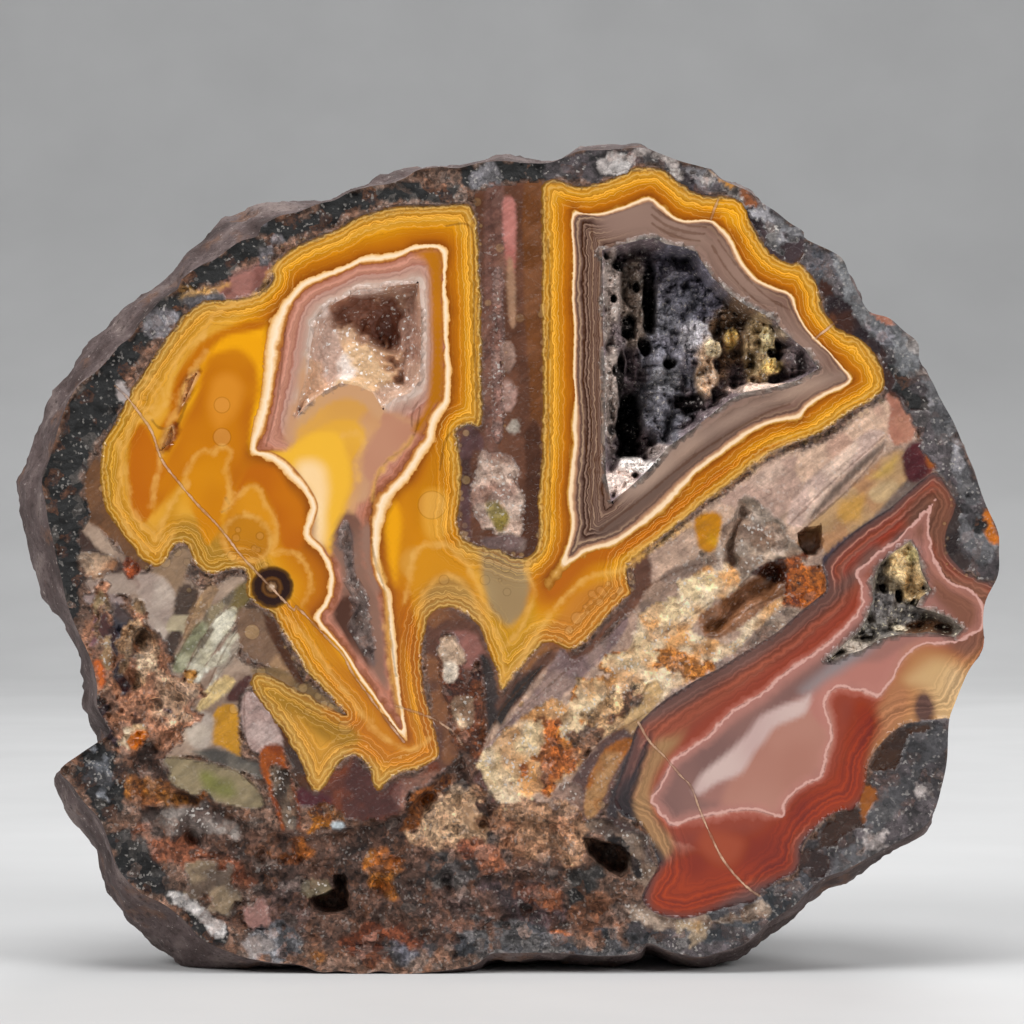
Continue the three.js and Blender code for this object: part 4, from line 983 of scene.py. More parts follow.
# Patches under the agate, back to front: one colour or two, softness of the edge in mm,
# raggedness in mm, kind of surface, and an outline by name or by its places
GROUND = [
    ("8a7262 a58d7a", 0.4, 0.2, "polished", "gray_clear"),
    ("5e4230 6e4c34", 0.3, 0.1, "polished",
     "84,476 97,455 104,470 108,500 118,520 128,526 142,548 152,562 140,570 120,550 100,530 86,515"),
    ("40302a", 0.3, 0.1, "polished", "78,528 100,550 120,560 122,572 100,574 84,560"),
    ("8a7058 9a7e66", 0.5, 0.1, "polished",
     "150,572 165,560 182,545 192,556 186,575 180,592 165,596 150,586"),
    ("b4a294 a08c80", 0.35, 0.2, "polished",
     "128,576 148,574 165,580 174,592 172,615 168,640 156,654 150,632 141,602 130,586"),
    ("a08c7e 8c7468", 0.25, 0.1, "polished", "88,578 130,575 137,592 95,594"),
    ("94807a 7c6864", 0.2, 0.1, "polished", "85,594 118,595 124,606 104,602 86,604"),
    ("483a32", 0.2, 0.1, "polished", "180,586 197,590 193,616 174,620"),
    ("bcac8c a8987c", 0.2, 0.1, "polished", "172,616 191,618 186,634 167,631"),
    ("43352e", 0.2, 0.1, "polished", "168,633 183,632 174,655 163,676 158,676 161,656"),
    ("b08c62 94765a", 0.15, 0.05, "dusty", "204,590 211,584 219,590 208,607 193,632 184,642 187,620"),
    ("8a7a5e 5c5042", 0.3, 0.3, "dusty", "206,618 222,596 238,588 244,596 228,608 212,624 198,640"),
    ("86722e 6c5c38", 0.4, 0.2, "polished", "238,586 250,580 252,596 244,612 232,620 226,612"),
    ("d8d0ba b4aa90", 0.2, 0.1, "dusty",
     "186,672 194,652 208,630 220,614 236,606 234,624 222,640 208,662 200,682 190,680"),
    ("a8a488 7c7a5e", 0.25, 0.15, "dusty", "172,668 186,640 200,622 208,630 196,650 184,672"),
    ("d2cab8 9a8a7a", 0.2, 0.25, "dusty", "206,690 216,668 226,648 236,628 242,640 232,658 220,676"),
    ("6b5240 7a5e4a", 0.35, 0.1, "polished",
     "242,606 262,608 276,622 284,640 292,662 282,668 262,664 246,656 238,638 236,618"),
    ("a88462", 0.7, 0.2, "polished", "276,656 290,656 296,668 284,674 272,668"),
    ("8c6c48 6e5638", 0.4, 0.2, "polished", "250,668 284,670 310,684 342,712 320,708 290,694 262,684"),
    ("4a2c1c", 0.2, 0.1, "polished", "262,612 276,622 286,646 298,668 305,684 298,684 283,662 272,640"),
    ("cfb27c b08e58", 0.15, 0.1, "dusty", "196,710 204,692 218,680 227,675 235,682 223,696 206,709"),
    ("4a2c28", 0.2, 0.1, "polished", "226,700 233,688 246,675 253,674 250,685 238,701"),
    ("bc8420 a87420", 0.2, 0.1, "polished", "214,712 226,704 237,708 240,735 240,757 225,749 209,740"),
    ("a8988c b8a898", 0.5, 0.2, "polished", "190,716 206,712 214,722 212,745 200,752 186,740"),
    ("3c2c26 4c2c1a", 0.25, 0.1, "polished",
     "240,694 256,690 274,705 288,724 302,750 314,784 310,800 297,782 290,760 278,748 262,752 244,740 "
     "238,716"),
    ("a58a82 b49c94", 0.15, 0.08, "dusty",
     "244,694 252,691 263,702 273,718 281,735 282,749 268,751 255,753 246,740 241,720"),
    ("4a4540 6a6258", 0.4, 0.2, "polished", "190,752 215,746 242,756 262,762 264,780 240,770 212,763"),
    ("786a50 8c7c5e", 0.3, 0.1, "polished",
     "160,760 180,757 205,761 235,771 255,786 264,806 240,808 215,802 190,796 170,786"),
    ("76743e", 1.4, 0.3, "polished", "200,772 222,778 236,792 228,798 208,790"),
    ("4a2a26 6a3420", 0.6, 0.4, "polished", "bottom_dark"),
    ("4c2026", 0.5, 0.3, "polished", "298,788 316,792 330,800 320,810 300,806"),
    ("9a4a10 7a3408", 0.15, 0.1, "dusty", "rust_stick"),
    ("8a7460 3c2c22", 0.2, 0.3, "sugary",
     "268,768 278,762 288,772 292,795 297,815 293,832 284,828 276,800"),
    ("b8700f 8a4a10", 0.2, 0.4, "rocky",
     "303,810 320,804 335,812 346,820 334,828 340,845 336,860 325,848 312,848 306,832 312,822"),
    ("b4bcc0", 0.15, 0.1, "dusty", "330,824 340,820 346,827 338,834"),
    ("7c5034 5c3c30", 0.5, 0.2, "polished",
     "424,622 436,610 452,608 470,618 482,632 492,656 500,690 502,740 490,770 470,790 440,790 438,760 "
     "430,700"),
    ("6a4c4a 8a5a50", 0.5, 0.3, "polished", "440,640 462,632 480,640 486,660 474,670 460,668 446,660"),
    ("3c3230 2e2624", 0.35, 0.2, "polished", "480,655 490,660 499,696 512,706 500,740 488,745 485,690"),
    ("7c4424 5c3020", 0.15, 0.25, "rocky",
     "441,640 452,636 461,655 466,690 472,668 480,664 484,700 485,745 478,772 466,760 452,736 446,700 "
     "441,670"),
    ("e2cfba c8a88c", 0.2, 0.3, "sugary", "441,642 452,638 462,652 463,662 444,660"),
    ("e0cdb8", 0.2, 0.3, "sugary", "446,664 456,666 457,680 447,680"),
    ("d8b896 8a6a52", 0.25, 0.4, "sugary", "450,702 466,698 474,705 470,726 456,724"),
    ("6a4640 8a6050", 0.5, 0.4, "dusty",
     "400,780 440,770 470,760 496,770 500,800 470,820 420,830 396,810"),
    ("a88a78 bc9c86", 0.15, 0.1, "dusty", "diag"),
    ("5a3c30 6e4838", 0.3, 0.1, "polished",
     "496,704 512,684 532,662 552,646 566,648 580,652 604,624 626,600 634,580 630,560 646,550 652,575 "
     "646,598 610,630 582,660 556,660 530,686 506,716"),
    ("8a5a34 7c4c38", 0.5, 0.1, "polished", "520,672 540,646 560,636 578,642 566,652 548,652 530,668"),
    ("2c2624", 0.3, 0.1, "polished", "496,716 512,690 530,672 544,664 534,680 514,704 502,726"),
    ("7c6462 947a70", 0.2, 0.2, "dusty",
     "484,758 496,734 516,712 542,680 560,648 574,660 590,652 606,636 628,616 620,640 580,680 540,720 "
     "500,752"),
    ("967a68 7a6458", 0.3, 0.2, "dusty",
     "640,596 664,574 690,560 704,556 700,576 670,596 650,612 640,610"),
    ("c4a694 b09080", 0.25, 0.1, "dusty",
     "720,500 745,482 770,464 796,457 804,478 796,500 782,516 765,522 750,510 735,508"),
    ("b8927e c8a68e", 0.25, 0.1, "dusty",
     "796,462 830,440 860,420 884,402 894,420 888,434 862,456 838,478 820,490 800,480"),
    ("d4b6a2 c0a294", 0.2, 0.1, "dusty",
     "786,520 800,490 830,462 868,432 884,434 858,462 834,484 815,510 800,527"),
    ("6c5a50", 0.25, 0.1, "polished", "806,520 830,492 858,464 886,440 882,450 850,480 822,510"),
    ("b08c64 a87c58", 0.4, 0.2, "polished",
     "796,546 812,522 848,490 882,456 904,448 912,478 882,510 850,536 826,562 818,540"),
    ("c0904a", 0.9, 0.3, "polished", "838,508 856,494 866,500 860,516 846,522"),
    ("b89450", 0.7, 0.3, "polished", "868,478 886,462 898,452 898,464 884,478"),
    ("b89a72", 0.4, 0.2, "polished", "872,486 892,480 898,492 880,504 870,500"),
    ("6a5a52 8a7264", 0.3, 0.1, "polished",
     "834,552 862,528 892,496 920,470 924,480 890,510 856,540 836,562"),
    ("38303a 443840", 0.15, 0.08, "polished",
     "824,570 822,557 838,543 862,526 884,512 896,509 882,522 850,546 836,566 830,574"),
    ("b07a64 a06a58", 0.25, 0.15, "polished",
     "886,394 900,398 912,404 918,420 912,438 896,446 888,430 890,410"),
    ("4c2428 6a3430", 0.5, 0.2, "polished", "902,452 918,440 936,446 938,466 922,480 906,476"),
    ("9a5420", 0.5, 0.2, "polished", "926,448 938,448 938,464 930,468"),
    ("ccb4a2 94806f", 0.2, 0.5, "sugary",
     "700,556 722,540 735,510 745,498 762,505 778,520 792,540 805,556 795,566 770,566 752,574 735,590 "
     "716,585"),
    ("d4b8a0 b4947c", 0.3, 0.4, "sugary",
     "745,545 762,540 780,556 796,550 806,560 788,568 764,566 750,556"),
    ("a08470 8c7060", 0.2, 0.3, "sugary", "730,580 720,530 742,520 770,530 775,548 752,548 740,540"),
    ("c8921c b8780f", 0.3, 0.15, "polished", "695,520 710,512 722,516 720,540 714,553 698,546"),
    ("ffe0b8 dca064", 0.2, 0.7, "sugary",
     "486,762 500,740 522,716 545,702 575,696 600,680 625,650 640,622 662,600 690,572 712,562 736,576 "
     "735,592 715,605 700,616 700,632 725,640 752,610 765,600 790,580 800,590 780,618 740,650 700,680 "
     "650,708 600,742 570,778 545,796 520,806 495,800"),
    ("a88c80 c0a090", 0.2, 0.4, "sugary",
     "648,712 690,680 740,650 786,616 830,596 826,606 780,634 720,672 662,712"),
    ("bc9468 dcb486", 0.2, 0.5, "rocky",
     "572,700 600,688 632,680 655,684 650,708 624,726 596,744 578,740 566,722"),
    ("c4a070 a8845c", 0.2, 0.1, "dusty",
     "604,744 622,722 640,698 652,680 664,688 656,706 640,726 618,746"),
    ("e08c3c b4622a", 0.2, 0.9, "rocky",
     "530,722 556,714 582,718 590,738 574,764 556,790 540,796 534,770 512,786 498,776 508,758 528,756"),
    ("c87c3a dc9850", 0.2, 0.9, "rocky", "566,700 590,678 616,652 632,650 618,672 596,692 580,706"),
    ("cc8038", 0.2, 0.9, "rocky", "640,648 662,644 690,650 708,668 696,680 676,676 654,664"),
    ("94684c 7c5236", 0.15, 0.08, "dusty",
     "698,618 716,604 740,588 762,576 788,578 792,590 770,604 748,622 726,636 706,638"),
    ("3a2018", 0.2, 0.1, "dusty", "750,574 764,564 786,558 790,580 776,582 760,576"),
    ("b86420 94440f", 0.2, 0.7, "rocky",
     "788,562 806,562 826,570 830,590 816,606 800,612 782,604 790,584"),
    ("8a7468 b49c88", 0.3, 0.3, "sugary", "744,644 772,612 790,606 804,612 780,632 752,650"),
    ("6e5048 5a4440", 0.4, 0.3, "dusty", "purple_stone"),
    ("9c7c6c 7c6458", 0.2, 0.2, "sugary", "552,798 560,784 576,784 584,796 576,810 560,812"),
    ("a87c50 9a5a24", 0.2, 0.1, "dusty",
     "584,800 592,770 606,748 626,738 634,742 622,760 606,790 598,812 588,818"),
    ("3c3436", 0.25, 0.15, "dusty", "606,812 616,780 632,748 640,742 636,762 622,790 616,822"),
    ("5e4038 4a3632", 0.3, 0.2, "dusty", "wing"),
    ("9c6a60 7c5048", 0.8, 0.3, "polished", "pinkpatch"),
    ("5a3a2c 664232", 0.1, 0.05, "polished", "column"),
    ("6a4024 744a30", 0.35, 0.05, "polished",
     "524,186 543,184 544,300 544,470 538,552 528,556 530,400 524,300"),
    ("68463c 785244", 0.3, 0.1, "dusty", "486,192 504,188 504,300 498,440 486,440 484,300"),
    ("946c60", 0.15, 0.15, "sugary", "495,275 501,280 503,400 500,440 495,430 494,330"),
    ("b4746a a8665c", 0.2, 0.05, "polished", "503,200 508,196 515,203 516,250 513,290 506,260 503,230"),
    ("a07a60", 0.25, 0.1, "polished", "508,258 514,266 516,300 514,330 508,310"),
    ("a88878 8a6a5c", 0.2, 0.2, "dusty", "502,344 510,344 514,358 508,372 503,366"),
    ("b0897c 8c6c60", 0.2, 0.2, "dusty", "502,380 512,380 518,394 510,410 503,404"),
    ("a89a8c", 0.1, 0.1, "dusty", "506,428 516,419 519,430 512,434"),
    ("46302c 5a4040", 0.3, 0.15, "polished",
     "462,432 480,432 484,450 472,460 472,540 484,550 466,542 460,500"),
    ("4a2e22", 0.3, 0.1, "polished", "526,430 540,430 538,545 524,560 520,540 526,480"),
    ("e0c0ac a88474", 0.15, 0.5, "sugary", "core"),
    ("8c7830", 0.5, 0.4, "sugary", "488,505 508,508 506,526 494,530"),
    ("6a5450 7c6860", 0.3, 0.2, "dusty", "484,536 522,536 524,552 500,550 482,546"),
]

# The rind and the rough matrix, which cover the agate's edge
COVER = [
    ("120f0e 2a221f", 0.3, 0.3, "glassy", "black_rind"),
    ("060506 100e0f", 0.1, 0.5, "glassy", "black_rind"),
    ("565052 8c868a", 0.1, 0.9, "speckled", "258,252 262,240 276,238 282,248 268,260 258,262"),
    ("504a4c 848084", 0.1, 0.9, "speckled", "150,322 166,314 176,322 170,336 156,344 148,336"),
    ("484244 7c787c", 0.1, 0.9, "speckled", "182,292 206,288 214,296 198,306 184,304"),
    ("5c585a 848084", 0.1, 0.9, "speckled", "478,170 492,166 500,178 486,182 470,184"),
    ("b0aaac d0cccc", 0.12, 0.2, "dusty", "552,162 564,162 564,176 554,176"),
    ("a89c98", 0.2, 0.3, "polished", "118,384 126,384 136,394 130,404 120,398"),
    ("3e3638 585052", 0.2, 0.3, "speckled", "right_rind"),
    ("3a3436 544c4e", 0.2, 0.3, "speckled", "low_rind"),
    ("3a2a24 4a3226", 0.25, 0.2, "polished",
     "750,212 760,224 774,250 790,262 808,258 804,246 786,238 770,224"),
    ("3c2c2a 5a3828", 0.3, 0.2, "polished",
     "822,288 836,300 852,322 872,342 886,352 892,372 906,388 924,404 918,412 898,400 884,384 878,360 "
     "860,346 836,328 824,306"),
    ("2c2424 3a302e", 0.25, 0.2, "polished",
     "944,520 956,502 964,518 958,545 974,562 962,574 948,562 942,540"),
    ("3a2418 2c1e1a", 0.3, 0.3, "polished",
     "866,772 874,750 890,734 912,727 930,728 920,738 906,748 900,766 886,774"),
    ("35221a", 0.25, 0.3, "polished", "812,852 832,816 856,808 864,826 846,838 826,850"),
    ("3a2620 2c1e1c", 0.25, 0.3, "polished", "798,874 804,852 822,850 832,864 824,880 804,886"),
    ("b06a20 8a4c18", 0.3, 0.3, "polished", "860,790 870,784 880,792 872,816 866,822 860,806"),
    ("3c3a3c 5c5658", 0.2, 0.5, "speckled",
     "690,905 712,896 740,884 768,884 800,890 812,898 790,916 762,926 720,938 690,940"),
    ("6a6769 7a7678", 0.1, 0.2, "slate", "683,165 700,168 718,168 720,178 706,188 692,180"),
    ("6a686a 7c7a7e", 0.08, 0.3, "slate", "766,210 782,220 802,226 806,238 790,236 772,226"),
    ("666668 7a7a7c", 0.12, 0.3, "slate",
     "828,250 842,254 856,270 862,290 878,306 900,318 918,336 924,354 914,372 898,374 890,352 870,334 "
     "852,310 842,288"),
    ("626062 4e4c4e", 0.08, 0.3, "slate", "924,374 938,378 950,408 958,440 948,446 932,428 926,400"),
    ("585658 464446", 0.08, 0.3, "slate", "956,442 968,462 977,490 973,506 960,488 952,462"),
    ("626062 4e4c4e", 0.12, 0.2, "slate", "960,516 978,514 986,536 996,546 990,560 974,560 964,544"),
    ("4a484a 3a383a", 0.08, 0.3, "slate", "906,746 930,730 948,728 947,752 930,764 914,778 904,766"),
    ("3e3c3e 525052", 0.12, 0.15, "slate",
     "874,804 890,784 906,774 918,780 906,802 886,828 870,836 866,820"),
    ("545254", 0.12, 0.3, "slate", "826,882 832,862 846,848 862,838 868,850 850,872 836,886"),
    ("303236 3e4044", 0.12, 0.3, "slate", "700,926 716,916 748,920 760,912 752,932 726,944 704,944"),
    ("303236", 0.12, 0.3, "slate", "764,900 776,888 796,894 800,906 778,918 764,914"),
    ("c0a894 8a7464", 0.25, 0.4, "sugary",
     "624,906 640,904 668,916 700,918 740,912 764,906 760,916 720,926 690,930 660,930 634,920"),
    ("c8924c b8a084", 0.25, 0.4, "sugary", "676,926 690,924 706,930 702,942 684,944"),
    ("b8661c 9a5018", 0.15, 0.2, "dusty", "984,512 990,512 996,530 1002,540 990,542 984,530"),
    ("0e0c0d 1c1a1b", 0.15, 0.5, "glassy", "sw_rind_a"),
    ("2c2c30 84868c", 0.1, 1.0, "speckled", "84,762 104,758 114,772 112,796 100,800 90,784"),
    ("100e0f 262324", 0.15, 0.5, "glassy", "sw_rind_b"),
    ("6a4c3e 4c3830", 0.4, 0.5, "rocky", "matrix"),
    ("b47e60 946448", 0.3, 0.8, "rocky",
     "78,640 92,600 104,588 112,610 122,618 134,600 142,606 152,636 160,660 176,676 198,680 206,700 "
     "190,720 180,740 150,748 118,744 96,720 84,680"),
    ("d0a888 b47e60", 0.2, 0.7, "rocky",
     "120,700 150,680 175,678 196,684 196,700 176,720 150,736 124,736"),
    ("6e4650 5c3c44", 0.3, 0.4, "dusty", "94,608 106,606 112,640 106,676 98,668 92,640"),
    ("3c3a42 4a3c3a", 0.3, 0.3, "polished", "112,600 126,606 132,622 122,650 114,640"),
    ("4a3424 6a4c34", 0.3, 0.4, "rocky", "130,634 144,624 156,636 152,644 138,646"),
    ("9a6a48 c0a084", 0.2, 0.3, "sugary", "78,566 84,556 98,552 114,556 120,564 110,574 92,577"),
    ("b4501c", 0.2, 0.3, "rocky", "124,562 134,562 136,572 128,574"),
    ("8c7250 a58c66", 0.2, 0.3, "sugary", "94,598 100,594 108,600 108,614 100,618 94,612"),
    ("8c7250 a07c58", 0.2, 0.3, "sugary", "132,598 140,596 146,604 144,614 134,612"),
    ("a06428 7c4a24", 0.5, 0.7, "rocky", "122,782 150,776 190,790 204,806 176,812 150,812 126,806"),
    ("9c9088 5c4c46", 0.5, 0.6, "sugary",
     "140,812 165,806 196,808 230,812 240,830 214,838 178,838 150,826"),
    ("7a4630 94583c", 0.6, 0.6, "rocky", "136,826 170,842 210,852 250,878 236,890 196,872 156,862"),
    ("5c4c40 8c7860", 0.4, 0.9, "dusty", "184,872 206,866 232,878 236,896 222,908 200,904 188,890"),
    ("946a62 a57c72", 0.3, 0.3, "dusty", "244,906 262,902 272,912 266,930 248,928"),
    ("6a5048 54403a", 0.4, 0.5, "rocky", "276,892 300,884 312,900 306,926 280,930 268,914"),
    ("a05c24 7c4420", 0.4, 0.6, "rocky", "276,852 296,842 312,852 300,866 280,864"),
    ("b88c6c cca682", 0.3, 0.8, "rocky",
     "400,832 420,806 446,784 464,776 478,792 486,820 498,846 470,848 440,852 414,848"),
    ("9a5a1c 7c4418", 0.4, 0.5, "rocky", "396,830 414,802 440,782 464,770 456,786 430,802 408,832"),
    ("b08a68", 0.3, 0.3, "dusty", "462,800 476,806 488,828 480,834 466,820"),
    ("bc8e6c 9c6e52", 0.3, 0.8, "rocky",
     "486,800 510,806 540,800 566,814 590,836 584,856 540,862 500,856 488,830"),
    ("8a4c34 a8684a", 0.4, 0.5, "rocky", "458,848 480,840 500,852 500,866 480,874 462,864"),
    ("a05a24 b8742c", 0.4, 0.6, "rocky", "366,862 380,856 394,866 396,890 386,900 372,884"),
    ("3c3634 544c4a", 0.5, 0.6, "rocky", "428,858 452,852 474,870 460,890 436,884"),
    ("483838 5c4848", 0.5, 0.6, "rocky", "480,886 520,880 560,890 560,930 530,944 490,936"),
    ("7c4a38 9a5c3c", 0.5, 0.7, "rocky", "500,884 520,882 560,890 556,908 530,906 506,900"),
    ("34302e", 0.4, 0.6, "rocky", "566,886 590,870 604,880 590,900 574,906"),
    ("7c5038 94664c", 0.4, 0.6, "rocky", "576,908 596,892 616,896 620,930 604,948 584,936"),
    ("b8683a", 0.25, 0.3, "rocky", "548,932 566,928 574,942 558,950"),
    ("743c24 5a3020", 0.5, 0.8, "rocky", "346,932 380,924 420,930 424,952 396,962 352,956"),
    ("a86a34", 0.4, 0.5, "rocky", "306,950 322,946 326,960 312,966"),
    ("54403a 6a4c40", 0.5, 0.6, "rocky", "426,906 460,890 500,900 504,930 480,950 440,952"),
    ("5a585a 8a888c", 0.3, 0.9, "rocky", "252,934 280,926 308,936 300,956 268,962"),
    ("d0c8c4", 0.1, 0.3, "sugary", "166,892 182,896 200,908 212,920 206,922 190,912 174,902"),
    ("d8d0cc", 0.1, 0.4, "sugary", "204,920 218,924 226,932 214,934"),
    ("a89c98", 0.3, 0.5, "sugary", "238,942 262,936 276,948 256,954"),
    ("7c7a84 4c4444", 0.3, 0.9, "rocky", "392,950 430,944 440,960 400,966"),
    ("3c3c40 605c5c", 0.3, 1.0, "rocky",
     "452,936 500,926 560,930 600,944 640,936 680,940 640,962 560,960 470,956"),
    ("8c7462 5a463c", 0.1, 0.5, "sugary",
     "588,826 606,822 634,836 650,856 654,882 640,886 630,872 616,874 626,856 616,840 600,834"),
    ("2c201c", 0.08, 0.3, "rocky", "612,838 626,846 638,862 640,878 632,868 626,856 616,846"),
        ("2a2425 3e3637", 0.15, 0.4, "glassy",
     "600,152 626,150 634,158 622,172 604,178 594,166"),
    ("2c2426 40363a", 0.15, 0.3, "glassy",
     "640,164 664,166 690,178 700,190 724,196 720,202 694,198 664,178 644,170"),
    ("2e2628 463a3c", 0.15, 0.3, "polished",
     "748,206 760,216 774,232 794,240 804,238 806,256 790,260 774,252 758,232 748,218"),
    ("2e2628 402a24", 0.15, 0.3, "polished",
     "820,282 832,284 838,296 852,314 866,330 880,342 892,356 894,366 880,360 862,344 842,330 826,308"),
    ("b4aaa6 d4ccc8", 0.08, 0.7, "sugary", "606,160 624,154 640,158 634,166 616,170 606,174"),
    ("b0a49e d4c8c4", 0.08, 0.8, "sugary", "632,148 660,152 690,162 684,170 660,164 640,158"),
    ("b8aeaa", 0.08, 0.5, "sugary", "706,174 716,172 716,184 706,184"),
    ("9c9490 c4bcb8", 0.08, 0.8, "sugary", "716,184 736,184 752,194 748,200 730,196"),
    ("a8a4a8 74706f", 0.08, 0.8, "sugary", "754,200 766,204 776,222 784,236 798,236 790,244 772,234"),
    ("a4a2a8 64646a", 0.08, 0.8, "sugary", "806,250 826,246 834,262 842,286 830,276 816,268"),
    ("a09690 c8beb8", 0.08, 0.7, "sugary",
     "842,246 852,258 860,280 872,300 880,310 868,302 852,280 842,262"),
    ("a8a4aa 6c6a70", 0.08, 0.8, "sugary", "868,326 884,334 894,336 900,352 892,356 880,342"),
    ("9c9490 bcb4b0", 0.08, 0.8, "sugary", "898,320 914,334 926,350 936,372 926,366 912,348"),
    ("a8a4a8 5c5c60", 0.08, 0.8, "sugary", "934,392 946,410 958,440 964,470 954,456 944,430 934,410"),
    ("b07c40 c8a058", 0.1, 0.4, "dusty", "712,168 724,176 738,182 730,186 718,180"),
    ("8c5434", 0.1, 0.4, "dusty", "740,188 752,194 758,204 750,202"),
    ("a8705c c09480", 0.1, 0.5, "dusty", "868,306 882,312 894,320 884,320 870,314"),
    ("120f10 2a2728", 0.1, 0.6, "glassy", "892,364 904,380 918,392 926,408 914,404 900,390"),
    ("1a1718 322e30", 0.1, 0.6, "glassy", "964,506 974,512 984,530 976,528 966,516"),
    ("a09490 c4b8b4", 0.08, 0.8, "sugary",
     "866,838 884,826 906,800 916,780 922,790 910,812 890,836 872,848"),
    ("a8a0a0 58565a", 0.08, 0.8, "sugary", "770,882 800,876 824,880 836,872 830,888 804,892 780,896"),
    ("f4d4a4 d8a878", 0.08, 1.1, "sugary", "494,770 510,740 534,720 550,726 540,750 520,776 504,790"),
    ("f0d0a4 cca070", 0.08, 1.1, "sugary", "560,712 584,690 604,680 612,690 590,716 570,730"),
    ("f8d8a8 dcac7c", 0.08, 1.1, "sugary", "610,668 636,640 664,622 676,636 650,662 622,684"),
    ("fcdcac e0b484", 0.08, 1.0, "sugary", "652,606 680,578 704,566 716,576 694,604 668,624"),
    ("6c4c38 8a6248", 0.1, 0.8, "rocky", "574,746 600,724 626,700 640,690 636,704 610,732 586,756"),
    # Ribs of the crumbly mass on the left, and the dark gaps between them, which are painted shade
    ("a07c60 8a6450", 0.1, 0.3, "rocky", "98,612 106,608 112,640 108,676 116,710 108,716 100,684 94,650"),
    ("4a3030", 0.1, 0.2, "dusty", "102,616 108,616 110,636 106,646 100,636"),
    ("b89870 9c7c58", 0.1, 0.3, "sugary", "102,638 110,638 112,654 108,668 102,656"),
    ("2e2024", 0.1, 0.3, "dusty", "113,622 118,640 120,664 126,690 122,696 116,672 112,646"),
    ("a47c58 c09c78", 0.1, 0.3, "rocky",
     "119,640 128,626 138,618 142,624 132,636 130,660 124,674 119,660"),
    ("d0b090 b08a68", 0.1, 0.4, "rocky", "136,650 148,644 156,650 152,672 142,688 134,676"),
    ("c2622c", 0.1, 0.3, "dusty", "94,664 100,664 104,682 98,686"),
    ("302024", 0.1, 0.4, "rocky", "84,690 96,694 108,716 118,740 110,742 96,720"),
    ("5a3c30", 0.1, 0.4, "rocky", "128,706 136,704 140,724 134,732 128,722"),
    ("ecb060 d88c34", 0.1, 0.3, "sugary", "184,672 194,668 198,674 190,680"),
    ("54383c", 0.1, 0.4, "rocky", "160,708 168,706 170,714 162,716"),
    ("f4dcb8 d8b488", 0.1, 0.5, "sugary", "124,728 136,724 142,736 132,746 124,742"),
    ("c86c1c", 0.1, 0.4, "dusty", "130,740 142,734 144,742 134,748"),
    ("dcd6c6 b8ae98", 0.08, 0.3, "dusty",
     "238,634 230,644 224,660 210,674 200,682 197,678 207,662 218,650 228,638"),
    ("6c6050", 0.08, 0.1, "dusty", "196,650 200,640 212,626 214,630 204,644 198,656 190,664 188,660"),
    ("84745a a8926c", 0.2, 0.5, "sugary", "300,892 314,884 326,890 322,902 306,904"),
]

